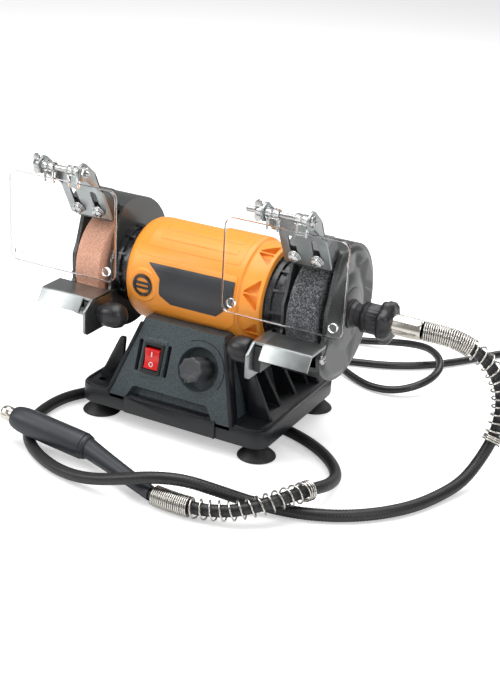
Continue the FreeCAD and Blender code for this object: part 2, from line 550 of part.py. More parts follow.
def add_rest(name, side):
    top_start, top_length = span(side, "rest_in", "rest_in + rest_wide")
    lip_start, lip_length = span(side, "rest_in + 8", "rest_in + rest_wide")
    top = box("rest_top_" + name, top_length, "rest_front - rest_back", "sheet_thick",
              (top_start, "-rest_front", "rest_z - sheet_thick"))
    fold = [("-rest_front", "rest_z"), ("-rest_front - 6.4", "rest_z - 9.6"),
            ("-rest_front - 4.7", "rest_z - 10.7"),
            ("-rest_front + 1", "rest_z - sheet_thick")]
    lip = prism("rest_lip_" + name, "YZ_Plane", fold, lip_start, lip_length)
    flange_start, flange_length = span(side, "rest_in", "rest_in + sheet_thick")
    flange = box("rest_flange_" + name, flange_length, "flange_deep", "rest_z - rest_low",
                 (flange_start, "-flange_tip", "rest_low"))
    flange = rounded("rest_flange_round_" + name, flange, "5",
                     lambda e: runs_along(e, "x") and e.BoundBox.ZMax < size("rest_low + 1"))
    slot_start, slot_length = span(side, "rest_in - 1", "rest_in + sheet_thick + 1")
    straight = box("rest_slot_" + name, slot_length, "slot_front - slot_back - slot_wide", "slot_wide",
                   (slot_start, "slot_wide / 2 - slot_front", "rest_stud_z - slot_wide / 2"))
    ends = [rod("slot_end%d_%s" % (i, name), "slot_wide", slot_length, (slot_start, y, "rest_stud_z"), "X")
            for i, y in enumerate(("slot_wide / 2 - slot_front", "-slot_back - slot_wide / 2"))]
    node("tool_rest_" + name, cut("rest_cut_" + name, join("rest_whole_" + name, top, lip, flange),
                                  straight, *ends))
    at = ("-rest_stud_y", "rest_stud_z")
    start, length = span(side, "rest_in - body_gap - grip_long", "rest_in - body_gap")
    grip = rod("grip_" + name, "grip_dia", length, (start, *at), "X")
    grip = rounded("grip_round_" + name, grip, "3.5",
                   lambda e: e.Curve.TypeId == "Part::GeomCircle"
                   and abs(e.Curve.Center.x) < size("rest_in - body_gap - 1"))
    start, length = span(side, "rest_in - 2", "guard_inner + guard_wall")
    stud = rod("rest_stud_" + name, "rest_stud_dia", length, (start, *at), "X")
    node("rest_knob_" + name, join("rest_knob_whole_" + name, grip, stud))


def add_bracket(name, side):
    plane, turn = leaning("-bracket_y", "bracket_z", "bracket_lean")
    middle = "%d * bracket_x" % side
    edge = middle + " - bracket_wide / 2"
    sheet_body = box("bracket_plate_" + name, "bracket_wide", "bracket_thick", "bracket_long",
                     plane(edge, "bracket_thick", "0"), turn)
    ears, slots = [], []
    for i, at in enumerate((edge, middle + " + bracket_wide / 2 - bracket_thick")):
        ears.append(box("ear%d_%s" % (i, name), "bracket_thick", "hinge_out", "hinge_up - ear_low",
                        plane(at, "hinge_out", "ear_low"), turn))
        ears.append(rod("ear_end%d_%s" % (i, name), "ear_dia", "bracket_thick",
                        plane(at, "hinge_out", "hinge_up"), "X"))
    low = "bracket_screw_up - screw_dia / 2 - 0.6"
    for i in (-1, 1):
        across = middle + " + %d * slot_apart / 2" % i
        slots.append(box("bracket_slot%d_%s" % (i, name), "bracket_slot_wide", "bracket_thick + 2",
                         "bracket_slot - bracket_slot_wide",
                         plane(across + " - bracket_slot_wide / 2", "bracket_thick + 1", low
                               + " + bracket_slot_wide / 2"), turn))
        for k, up in enumerate((low + " + bracket_slot_wide / 2", low
                                + " + bracket_slot - bracket_slot_wide / 2")):
            slots.append(rod("slot_round%d%d_%s" % (i, k, name), "bracket_slot_wide", "bracket_thick + 2",
                             plane(across, "-1", up), "-Y", turn))
    slots.append(rod("ear_hole_" + name, "hinge_dia + fit_gap * 2", "bracket_wide + 2",
                     plane(edge + " - 1", "hinge_out", "hinge_up"), "X"))
    node("shield_bracket_" + name, cut("bracket_cut2_" + name,
                                       join("bracket_whole_" + name, sheet_body, *ears), *slots))
    add_hinge(name, side, plane, middle)
    add_shield(name, plane, middle)


def add_bracket_screws():
    plane, turn = leaning("-bracket_y", "bracket_z", "bracket_lean")
    screws = []
    for name, side in SIDES:
        for i in (-1, 1):
            across = "%d * bracket_x + %d * slot_apart / 2" % (side, i)
            shank = rod("shank%d_%s" % (i, name), "screw_dia - 0.1", "12 + bracket_thick + body_gap",
                        plane(across, "-12", "bracket_screw_up"), "-Y", turn)
            washer = rod("washer%d_%s" % (i, name), "screw_head + 2", "1",
                         plane(across, "bracket_thick + body_gap", "bracket_screw_up"), "-Y", turn)
            head = rod("head%d_%s" % (i, name), "screw_head", "head_thick",
                       plane(across, "bracket_thick + body_gap + 1", "bracket_screw_up"), "-Y", turn)
            screws.append(join("bracket_screw%d_%s" % (i, name), shank, washer, head))
    node("bracket_screws", group("bracket_screw_set", screws))


def add_hinge(name, side, plane, middle):
    out = "bracket_wide / 2"
    wing_start = "%s - %s - body_gap - 5" % (middle, out)
    hub = rod("wing_hub_" + name, "7.4", "5", plane(wing_start, "hinge_out", "hinge_up"), "X")
    wings = box("wings_" + name, "5", "1.6", "wing_reach * 2",
                tuple(text + extra for text, extra in zip(plane(wing_start, "hinge_out", "hinge_up"),
                                                          ("", " - 0.8", " - wing_reach"))))
    wings = rounded("wings_round_" + name, wings, "2", lambda e: runs_along(e, "y"))
    winged = join("winged_" + name, hub, wings)
    if side < 0:
        stem = rod("wing_stem", "hinge_dia", "bracket_wide + 12",
                   plane("%s - %s - 1" % (middle, out), "hinge_out", "hinge_up"), "X")
        node("wing_bolt_left", join("wing_bolt", winged, stem))
        start = "%s + %s" % (middle, out)
        nut = hexagon("hinge_nut", "7", "3.2", plane(start, "hinge_out", "hinge_up"))
        tap = rod("hinge_nut_tap", "hinge_dia + fit_gap * 2", "5",
                  plane(start + " - 1", "hinge_out", "hinge_up"), "X")
        node("hinge_nut_left", cut("hinge_nut_cut", nut, tap))
        return
    bore = rod("wing_bore", "hinge_dia + fit_gap * 2", "7", plane(wing_start + " - 1", "hinge_out",
                                                                  "hinge_up"), "X")
    node("wing_nut_right", cut("wing_nut", winged, bore))
    stem = rod("hinge_stem", "hinge_dia", "bracket_wide + 12",
               plane("%s - %s - 12" % (middle, out), "hinge_out", "hinge_up"), "X")
    head = rod("hinge_head", "screw_head", "head_thick", plane("%s + %s" % (middle, out), "hinge_out",
                                                               "hinge_up"), "X")
    node("hinge_bolt_right", join("hinge_bolt", stem, head))


def add_shield(name, plane, middle):
    x, y, z = plane(middle, "hinge_out", "hinge_up")
    pane = box("pane_" + name, "shield_wide", "shield_thick", "shield_high",
               (x + " - shield_wide / 2", y + " - shield_thick / 2", z + " - shield_drop - shield_high"))
    pane = rounded("pane_round_" + name, pane, "6", lambda e: runs_along(e, "y"))
    pieces = [pane]
    for i in (-1, 1):
        start = x + " + %d * barrel_apart / 2 - barrel_long / 2" % i
        pieces.append(rod("barrel%d_%s" % (i, name), "barrel_dia", "barrel_long", (start, y, z), "X"))
        pieces.append(box("web%d_%s" % (i, name), "barrel_long", "shield_thick", "shield_drop",
                          (start, y + " - shield_thick / 2", z + " - shield_drop")))
    bore = rod("barrel_bore_" + name, "hinge_dia + fit_gap * 2", "bracket_wide",
               (x + " - bracket_wide / 2", y, z), "X")
    node("eye_shield_" + name, cut("shield_cut_" + name, join("shield_whole_" + name, *pieces), bore))


# ---------------------------------------------------------------- coupling and handpiece

def add_coupling():
    axis = ("0", "spindle_z")
    node("coupling_spigot", tube("spigot", "spigot_dia", "spigot_bore", "spigot_end - boss_out",
                                 ("boss_out", *axis), "X"))
    collar = rod("knurl", "knurl_dia", "lobe_start - nut_start", ("nut_start", *axis), "X")
    lobes = rod("lobes", "lobe_dia", "nut_end - lobe_start", ("lobe_start", *axis), "X")
    bites = [rod("lobe_bite%d" % i, "lobe_dia / 3", "nut_end - lobe_start + 2",
                 ("lobe_start - 1", "lobe_dia * 0.6 * cos(%d * 60deg)" % i,
                  "spindle_z + lobe_dia * 0.6 * sin(%d * 60deg)" % i), "X")
             for i in range(6)]
    wide = rod("nut_bore", "spigot_dia + fit_gap * 2", "spigot_end - nut_start + 1.3",
               ("nut_start - 1", *axis), "X")
    narrow = rod("ferrule_way", "ferrule_dia + fit_gap * 2", "nut_end - spigot_end + 2",
                 ("spigot_end", *axis), "X")
    node("coupling_nut", cut("nut_cut", join("nut_whole", collar, lobes), wide, narrow, *bites))
    node("coupling_ferrule", tube("ferrule", "ferrule_dia", "spring_bore",
                                  "ferrule_end - spigot_end - body_gap",
                                  ("spigot_end + body_gap", *axis), "X"))


def path_wire(points):
    """Straight runs joined by tangent arcs, each as large as its two runs allow."""
    points = [Vector(*p) for p in points]
    edges, radii = [], []
    start = points[0]
    for before, here, after in zip(points, points[1:], points[2:]):
        back, ahead = before - here, after - here
        shorter = min(back.Length, ahead.Length)
        half_turn = (math.pi - back.getAngle(ahead)) / 2
        reach = 0.45 * shorter
        radii.append(reach / math.tan(half_turn))
        back.normalize()
        ahead.normalize()
        first, last = here + back * reach, here + ahead * reach
        bisector = (back + ahead).normalize()
        to_middle = radii[-1] / math.cos(half_turn) - radii[-1]
        edges.append(Part.LineSegment(start, first).toShape())
        edges.append(Part.Arc(first, here + bisector * to_middle, last).toShape())
        start = last
    edges.append(Part.LineSegment(start, points[-1]).toShape())
    return Part.Wire(edges), radii


def swept(wire, dia):
    first = wire.Edges[0]
    ring = Part.Wire([Part.Circle(first.firstVertex().Point, first.tangentAt(first.FirstParameter),
                                  dia / 2).toShape()])
    solid = wire.makePipeShell([ring], True, False)
    expected = math.pi * dia ** 2 / 4 * wire.Length
    if abs(solid.Volume / expected - 1) > 0.01:
        raise ValueError("A swept tube lost part of its volume")
    return solid


def cord(name, points, dia):
    wire, radii = path_wire(points)
    runs = [(Vector(*b) - Vector(*a)).Length for a, b in zip(points, points[1:])]
    print(name, "length %.0f" % wire.Length, "radii", " ".join("%.0f" % r for r in radii))
    print(name, "runs", " ".join("%.0f" % r for r in runs))
    shape_node(name, swept(wire, dia))
    return wire


def add_flexible_shaft():
    doc.recompute()
    route = [(size("ferrule_end + 0.6"), 0, size("spindle_z"))] + SHEATH_ROUTE[1:]
    wire = cord("flex_sheath", route, size("sheath_dia"))
    springs = []
    for part in (wire.Edges[:NEAR_SPRING_RUNS], wire.Edges[-FAR_SPRING_RUNS:]):
        path = Part.Wire(part)
        spring = swept(path, size("spring_dia")).cut(swept(path, size("spring_bore")))
        springs.append(spring.cut(NODES["coupling_ferrule"].Shape))
    shape_node("bend_springs", Part.makeCompound(springs))
    add_handpiece(route)


def add_handpiece(route):
    rise = Rotation(Vector(0, 1, 0), size("handle_rise"))
    toward_nose = rise.multVec(Vector(-1, 0, 0))
    back = Vector(size("handle_back"), size("handle_y"), size("handle_z"))
    length = size("handle_long")
    grip = Part.makeCylinder(size("handle_dia") / 2, length, back, toward_nose)
    grip = grip.makeFillet(2, [e for e in grip.Edges if e.Curve.TypeId == "Part::GeomCircle"])
    bore = Part.makeCylinder(size("collet_dia") / 2, length - 12, back + toward_nose * 12, toward_nose)
    shape_node("handpiece_grip", grip.cut(bore))
    end = Vector(*route[-1])
    arriving = (end - Vector(*route[-2])).normalize()
    middle = end * 0.5 + back * 0.5 + arriving * 2
    rings = []
    for centre, normal, dia in ((end, arriving, size("tail_dia")), (middle, arriving + toward_nose, 12.5),
                                (back, toward_nose, size("handle_dia") - 2.4)):
        rings.append(Part.Wire([Part.Circle(centre, normal, dia / 2).toShape()]))
    shape_node("handpiece_boot", Part.makeLoft(rings, True))
    gap = size("fit_gap")
    spindle = Part.makeCylinder(size("collet_dia") / 2 - gap, length - 12 - 0.6, back + toward_nose * 12.3,
                                toward_nose)
    nose = Part.makeCylinder(size("collet_dia") / 2, size("collet_long"), back + toward_nose
                             * (length + 0.3), toward_nose)
    nose = nose.makeChamfer(1.2, [e for e in nose.Edges if e.Curve.TypeId == "Part::GeomCircle"
                                  and (e.Curve.Center - back).Length > length + 2])
    neck = Part.makeCylinder(size("collet_dia") / 2 - 1, 0.6, back + toward_nose * (length - 0.3),
                             toward_nose)
    depth = size("shank_deep")
    tip = back + toward_nose * (length + 0.3 + size("collet_long"))
    shank = Part.makeCylinder(size("shank_dia") / 2, depth, tip - toward_nose * depth, toward_nose)
    shape_node("handpiece_spindle", spindle.fuse(neck).cut(shank))
    shape_node("collet_nut", nose.cut(shank))


# ---------------------------------------------------------------- mains lead

def add_lead():
    node("cord_gland", cone("gland", "gland_dia", "lead_dia + 2", "gland_long",
                            ("gland_x", "plinth_y", "gland_z"), "Y"))
    route = [(size("gland_x"), size("plinth_y + gland_long + 0.6"), size("gland_z"))] + LEAD_ROUTE[1:]
    cord("mains_lead", route, size("lead_dia"))
    cord("lead_tail", TAIL_ROUTE, size("lead_dia"))
    node("lead_coil", tube("coil", "coil_outer", "coil_inner", "coil_high",
                           ("coil_x", "coil_y", "floor_gap")))
    x, y, z = ("%g" % value for value in TAIL_ROUTE[-1])
    body = box("plug_blank", "plug_wide", "plug_long - 10", "plug_thick",
               (x + " - plug_wide / 2", y + " - plug_long", "floor_gap"))
    body = rounded("plug_round", body, "4", lambda e: runs_along(e, "y"))
    neck = cone("plug_neck", "lead_dia + 3", "plug_thick - 1", "12", (x, y, "floor_gap + plug_thick / 2"),
                "-Y")
    node("plug_body", join("plug", body, neck))
    pins = [rod("pin%d" % i, "pin_dia", "pin_long", (x + " + %d * pin_apart / 2" % i, y + " - plug_long",
                                                     "floor_gap + plug_thick / 2"), "-Y")
            for i in (-1, 1)]
    node("plug_pins", group("pins", pins))


# ---------------------------------------------------------------- the whole part

def centre_footprint():
    """Moves every piece along Y until the origin is under the middle of the footprint."""
    boxes = [solid.Shape.BoundBox for name, solid in NODES.items() if name not in ON_A_CORD]
    middle = (min(b.YMin for b in boxes) + max(b.YMax for b in boxes)) / 2
    sheet.set("spindle_y", "%.4f" % -middle)
    for solid in NODES.values():
        own = dict(solid.ExpressionEngine).get(".Placement.Base.y", "%.6f" % solid.Placement.Base.y)
        solid.setExpression("Placement.Base.y", "%s + Sheet.spindle_y" % own)
    doc.recompute()
    print("spindle_y %.4f" % -middle)


def write_parts():
    doc.recompute()
    failed = [item.Name for item in doc.Objects if {"Invalid", "Error"} & set(item.State)]
    failed += [name for name, solid in NODES.items() if solid.Shape.isNull() or not solid.Shape.isValid()
               or not solid.Shape.Solids]
    if failed:
        raise ValueError("These failed: " + ", ".join(failed))
    os.makedirs("parts", exist_ok=True)
    for name, solid in NODES.items():
        solid.Shape.exportStep("parts/%s.step" % name)
    print(len(NODES), "nodes,", sum(len(solid.Shape.Solids) for solid in NODES.values()), "solids")


fill_sheet()
add_base()
add_bottom()
add_controls()
add_motor()
add_spindle()
for side_name, side_sign in SIDES:
    add_guard(side_name, side_sign)
add_cover_screws()
add_bracket_screws()
add_coupling()
add_flexible_shaft()
add_lead()
doc.recompute()
centre_footprint()
write_parts()
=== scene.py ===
"""Looks of the bench grinder: detailed pieces, materials, cords, light and camera.

Pieces are drawn in millimetres, with Y counted from the spindle's axis and Z from the floor,
and are then moved into the frame, which is in metres.
"""
import json
import math

import bmesh
import bpy
from mathutils import Matrix, Vector, noise


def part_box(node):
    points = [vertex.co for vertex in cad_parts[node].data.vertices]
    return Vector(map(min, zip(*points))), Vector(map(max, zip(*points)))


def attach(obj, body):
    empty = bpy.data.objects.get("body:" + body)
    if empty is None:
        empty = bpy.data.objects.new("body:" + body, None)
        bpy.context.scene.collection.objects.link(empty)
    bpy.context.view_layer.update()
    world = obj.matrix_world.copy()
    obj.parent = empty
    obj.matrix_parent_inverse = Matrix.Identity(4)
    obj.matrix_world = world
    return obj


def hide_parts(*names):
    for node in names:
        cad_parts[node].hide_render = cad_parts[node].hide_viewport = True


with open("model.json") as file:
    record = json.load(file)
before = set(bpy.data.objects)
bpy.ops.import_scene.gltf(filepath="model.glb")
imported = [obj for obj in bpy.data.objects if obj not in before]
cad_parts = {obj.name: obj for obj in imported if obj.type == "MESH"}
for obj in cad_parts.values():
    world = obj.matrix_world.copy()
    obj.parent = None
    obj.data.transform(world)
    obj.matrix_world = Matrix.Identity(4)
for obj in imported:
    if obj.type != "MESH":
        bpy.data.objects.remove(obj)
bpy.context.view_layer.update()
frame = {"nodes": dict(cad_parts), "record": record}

MM = 0.001
SLOTS = {part["node"]: part["material_slot"] for part in frame["record"]["subparts"]}
SIDES = (("left", -1), ("right", 1))

shaft_low, shaft_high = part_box("spindle_shaft")
SPINDLE_Y = (shaft_low[1] + shaft_high[1]) / 2
SPINDLE_Z = (shaft_low[2] + shaft_high[2]) / 2 / MM
WHEEL_R = (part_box("wheel_left")[1][2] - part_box("wheel_left")[0][2]) / 2 / MM
GUARD_R = (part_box("guard_left")[1][1] / MM - SPINDLE_Y / MM)
MOTOR_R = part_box("motor_housing")[1][1] / MM - SPINDLE_Y / MM
MOTOR_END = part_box("motor_housing")[1][0] / MM
TO_FRAME = Matrix.Translation((0, SPINDLE_Y, 0)) @ Matrix.Scale(MM, 4)

PANEL_TILT = math.radians(18.75)
PANEL_FOOT = (-60, 24.5)
BRACKET_LEAN = math.radians(28)
BRACKET_FOOT = (-30, 140)
BRACKET_X = 84.9
HINGE_UP, HINGE_OUT = 54, 12.1


def metres(point):
    return TO_FRAME @ Vector(point)


# ---------------------------------------------------------------- drawing helpers

def side_axes(axis):
    """Two directions at right angles to an axis, the first one level where that is possible."""
    level = Vector((0, 0, 1)).cross(axis)
    first = level.normalized() if level.length > 0.01 else Vector((1, 0, 0))
    return first, axis.cross(first)


def lathe(profile, centre=(0, 0, 0), axis=(1, 0, 0), segments=72, shape=None):
    """A turned solid from (distance along the axis, radius) pairs. shape scales the radius by angle and distance."""
    mesh = bmesh.new()
    axis = Vector(axis).normalized()
    first, second = side_axes(axis)
    rings = []
    for along, radius in profile:
        middle = Vector(centre) + axis * along
        ring = []
        for i in range(segments):
            angle = 2 * math.pi * i / segments
            reach = radius * (shape(angle, along) if shape else 1)
            ring.append(mesh.verts.new(middle + (first * math.cos(angle) + second * math.sin(angle)) * reach))
        rings.append(ring)
    for near, far in zip(rings, rings[1:]):
        for i in range(segments):
            k = (i + 1) % segments
            mesh.faces.new((near[i], near[k], far[k], far[i]))
    mesh.faces.new(rings[0][::-1])
    mesh.faces.new(rings[-1])
    bmesh.ops.recalc_face_normals(mesh, faces=mesh.faces)
    return mesh


def ring_profile(start, end, inner, outer, fillet=0.5):
    """The profile of a ring with eased outer edges, for a closed lathe."""
    return [(start, inner), (start, outer - fillet), (start + fillet * 0.3, outer - fillet * 0.3),
            (start + fillet, outer), (end - fillet, outer), (end - fillet * 0.3, outer - fillet * 0.3),
            (end, outer - fillet), (end, inner)]


def rounded(corners, radius, steps=5):
    """An outline with its corners rounded. radius is one number or one for each corner."""
    corners = [Vector((a, b)) for a, b in corners]
    radii = radius if isinstance(radius, (list, tuple)) else [radius] * len(corners)
    outline = []
    for i, here in enumerate(corners):
        back = corners[i - 1] - here
        ahead = corners[(i + 1) % len(corners)] - here
        half = back.angle(ahead) / 2
        reach = min(radii[i] / math.tan(half), back.length * 0.49, ahead.length * 0.49)
        if reach < 0.01:
            outline.append(here)
            continue
        first, last = here + back.normalized() * reach, here + ahead.normalized() * reach
        for k in range(steps + 1):
            share = k / steps
            outline.append(first * (1 - share) ** 2 + here * 2 * share * (1 - share) + last * share ** 2)
    return [tuple(point) for point in outline]


def circle(across, up, radius, steps=32):
    return [(across + radius * math.cos(2 * math.pi * i / steps), up + radius * math.sin(2 * math.pi * i / steps))
            for i in range(steps)]


def plate(outline, bottom, top, place=None, ease=0.4, slices=0):
    """A slab with this outline. place turns its (across, up, out) into a point of the object."""
    mesh = bmesh.new()
    face = mesh.faces.new([mesh.verts.new((a, b, bottom)) for a, b in outline])
    moved = bmesh.ops.extrude_face_region(mesh, geom=[face])["geom"]
    for vertex in (item for item in moved if isinstance(item, bmesh.types.BMVert)):
        vertex.co.z = top
    bmesh.ops.recalc_face_normals(mesh, faces=mesh.faces)
    if ease:
        ease_edges(mesh, ease)
    if slices:
        bmesh.ops.triangulate(mesh, faces=mesh.faces)
        heights = [vertex.co.y for vertex in mesh.verts]
        level = min(heights) + slices
        while level < max(heights):
            whole = mesh.verts[:] + mesh.edges[:] + mesh.faces[:]
            bmesh.ops.bisect_plane(mesh, geom=whole, plane_co=(0, level, 0), plane_no=(0, 1, 0))
            level += slices
    if place:
        for vertex in mesh.verts:
            vertex.co = Vector(place(*vertex.co))
        bmesh.ops.recalc_face_normals(mesh, faces=mesh.faces)
    return mesh


def ease_edges(mesh, width, segments=2, sharper_than=30):
    edges = [edge for edge in mesh.edges
             if len(edge.link_faces) == 2 and edge.calc_face_angle(0) > math.radians(sharper_than)]
    bmesh.ops.bevel(mesh, geom=edges, offset=width, segments=segments, affect="EDGES", profile=0.6,
                    clamp_overlap=True)


def block(low, high, ease=0.6, segments=2):
    mesh = bmesh.new()
    size = Vector(high) - Vector(low)
    middle = (Vector(high) + Vector(low)) / 2
    bmesh.ops.create_cube(mesh, size=1, matrix=Matrix.Translation(middle) @ Matrix.Diagonal((*size, 1)))
    if ease:
        ease_edges(mesh, ease, segments)
    return mesh


def merged(*meshes):
    whole = bmesh.new()
    for mesh in meshes:
        data = bpy.data.meshes.new("merging")
        mesh.to_mesh(data)
        whole.from_mesh(data)
        bpy.data.meshes.remove(data)
        mesh.free()
    return whole


def loose_object(mesh, name):
    data = bpy.data.meshes.new(name)
    mesh.to_mesh(data)
    mesh.free()
    item = bpy.data.objects.new(name, data)
    bpy.context.scene.collection.objects.link(item)
    return item


def combined(mesh, tools, operation="DIFFERENCE"):
    """The solid with the tools cut away, or added."""
    item = loose_object(mesh, "carving")
    cutter = loose_object(merged(*tools), "cutter")
    change = item.modifiers.new("carve", "BOOLEAN")
    change.operation = operation
    change.object = cutter
    change.solver = "EXACT"
    change.use_self = True
    bpy.context.view_layer.update()
    result = bpy.data.meshes.new_from_object(item.evaluated_get(bpy.context.evaluated_depsgraph_get()))
    whole = bmesh.new()
    whole.from_mesh(result)
    for data in (item.data, cutter.data, result):
        bpy.data.meshes.remove(data)
    return whole


def piece(name, mesh, material, body, nodes=(), smooth=32, also=()):
    """Turns a drawn mesh into a piece of the object that rides on a body and stands for CAD nodes."""
    bmesh.ops.remove_doubles(mesh, verts=mesh.verts, dist=0.001)
    data = bpy.data.meshes.new(name)
    mesh.to_mesh(data)
    mesh.free()
    data.transform(TO_FRAME)
    data.shade_smooth()
    data.set_sharp_from_angle(angle=math.radians(smooth))
    item = bpy.data.objects.new(name, data)
    bpy.context.scene.collection.objects.link(item)
    data.materials.append(material)
    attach(item, body)
    if nodes:
        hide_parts(*nodes)
    return item


# ---------------------------------------------------------------- materials

def new_material(name, colour, roughness, metallic=0.0, **sockets):
    material = bpy.data.materials.new(name)
    material.use_nodes = True
    shader = material.node_tree.nodes["Principled BSDF"]
    shader.inputs["Base Color"].default_value = (*colour, 1)
    shader.inputs["Roughness"].default_value = roughness
    shader.inputs["Metallic"].default_value = metallic
    for socket, value in sockets.items():
        shader.inputs[socket.replace("_", " ")].default_value = value
    return material


def texture(material, kind, scale, **settings):
    nodes, links = material.node_tree.nodes, material.node_tree.links
    place = nodes.get("Place") or nodes.new("ShaderNodeTexCoord")
    place.name = "Place"
    pattern = nodes.new(kind)
    pattern.inputs["Scale"].default_value = scale
    for socket, value in settings.items():
        pattern.inputs[socket].default_value = value
    links.new(place.outputs["Object"], pattern.inputs["Vector"])
    return pattern


def tint(material, pattern, output, stops):
    """Colours the surface by a pattern, through a ramp of (position, colour) stops."""
    nodes, links = material.node_tree.nodes, material.node_tree.links
    ramp = nodes.new("ShaderNodeValToRGB")
    for i, (position, colour) in enumerate(stops):
        element = ramp.color_ramp.elements[i] if i < 2 else ramp.color_ramp.elements.new(position)
        element.position = position
        element.color = (*colour, 1)
    links.new(pattern.outputs[output], ramp.inputs["Fac"])
    links.new(ramp.outputs["Color"], nodes["Principled BSDF"].inputs["Base Color"])


def vary_roughness(material, pattern, low, high):
    nodes, links = material.node_tree.nodes, material.node_tree.links
    spread = nodes.new("ShaderNodeMapRange")
    spread.inputs["To Min"].default_value = low
    spread.inputs["To Max"].default_value = high
    links.new(pattern.outputs[0], spread.inputs["Value"])
    links.new(spread.outputs["Result"], nodes["Principled BSDF"].inputs["Roughness"])


def raise_grain(material, pattern, depth, strength=1.0, round_edges=0.0):
    nodes, links = material.node_tree.nodes, material.node_tree.links
    bump = nodes.new("ShaderNodeBump")
    bump.inputs["Distance"].default_value = depth
    bump.inputs["Strength"].default_value = strength
    links.new(pattern.outputs[0], bump.inputs["Height"])
    if round_edges:
        soft = nodes.new("ShaderNodeBevel")
        soft.inputs["Radius"].default_value = round_edges
        links.new(soft.outputs["Normal"], bump.inputs["Normal"])
    links.new(bump.outputs["Normal"], nodes["Principled BSDF"].inputs["Normal"])


def moulded(name, colour, roughness, grain=1500, depth=0.00006, lighter=1.35, round_edges=0.0003, **sockets):
    """Injection-moulded plastic: a fine spark-eroded grain and a slightly uneven sheen."""
    material = new_material(name, colour, roughness, **sockets)
    fine = texture(material, "ShaderNodeTexNoise", grain, Detail=3.0)
    broad = texture(material, "ShaderNodeTexNoise", 35, Detail=2.0)
    tint(material, broad, "Fac", [(0.35, colour), (0.75, [min(1, c * lighter) for c in colour])])
    vary_roughness(material, fine, roughness - 0.07, roughness + 0.1)
    raise_grain(material, fine, depth, round_edges=round_edges)
    return material


def glint_speckled(name, dark, pale, roughness):
    """A spark-eroded panel with painted glints: fine pale flecks mixed into its colour stand in for the light that its
    grain catches.
    """
    material = moulded(name, dark, roughness, grain=1300, depth=0.0001, round_edges=0.0004)
    painted_glints = texture(material, "ShaderNodeTexNoise", 1700, Detail=2.0)
    # Painted glints: pale flecks in the colour that stand in for sparkle highlights off the grain.
    tint(material, painted_glints, "Fac", [(0.38, dark), (0.66, pale)])
    return material


def metal(name, colour, roughness, streak=(40, 900, 900), depth=0.00001, spread=0.1, round_edges=0.0003):
    """Plated or machined steel, with faint streaks and clouds in its sheen."""
    material = new_material(name, colour, roughness, metallic=1.0)
    nodes, links = material.node_tree.nodes, material.node_tree.links
    fine = texture(material, "ShaderNodeTexNoise", 1.0, Detail=4.0)
    stretch = nodes.new("ShaderNodeMapping")
    stretch.inputs["Scale"].default_value = streak
    links.new(nodes["Place"].outputs["Object"], stretch.inputs["Vector"])
    links.new(stretch.outputs["Vector"], fine.inputs["Vector"])
    clouds = texture(material, "ShaderNodeTexNoise", 90, Detail=3.0)
    tint(material, clouds, "Fac", [(0.3, [c * 0.86 for c in colour]), (0.72, [min(1, c * 1.1) for c in colour])])
    vary_roughness(material, fine, roughness - spread, roughness + spread)
    raise_grain(material, fine, depth, round_edges=round_edges)
    return material


def abrasive(name, dark, middle, pale, grain, depth):
    """Bonded abrasive: packed grains with pores between them."""
    material = new_material(name, middle, 0.85)
    grains = texture(material, "ShaderNodeTexVoronoi", grain)
    tint(material, grains, "Color", [(0.2, dark), (0.8, pale), (0.5, middle)])
    pores = texture(material, "ShaderNodeTexNoise", grain * 0.8, Detail=5.0, Roughness=0.7)
    raise_grain(material, pores, depth)
    return material


def clear_plastic(name, colour, ior, rough):
    """Thin polycarbonate, with a trace of haze."""
    material = new_material(name, colour, rough, Transmission_Weight=1.0, IOR=ior)
    haze = texture(material, "ShaderNodeTexNoise", 60, Detail=2.0)
    vary_roughness(material, haze, 0.0, rough)
    return material


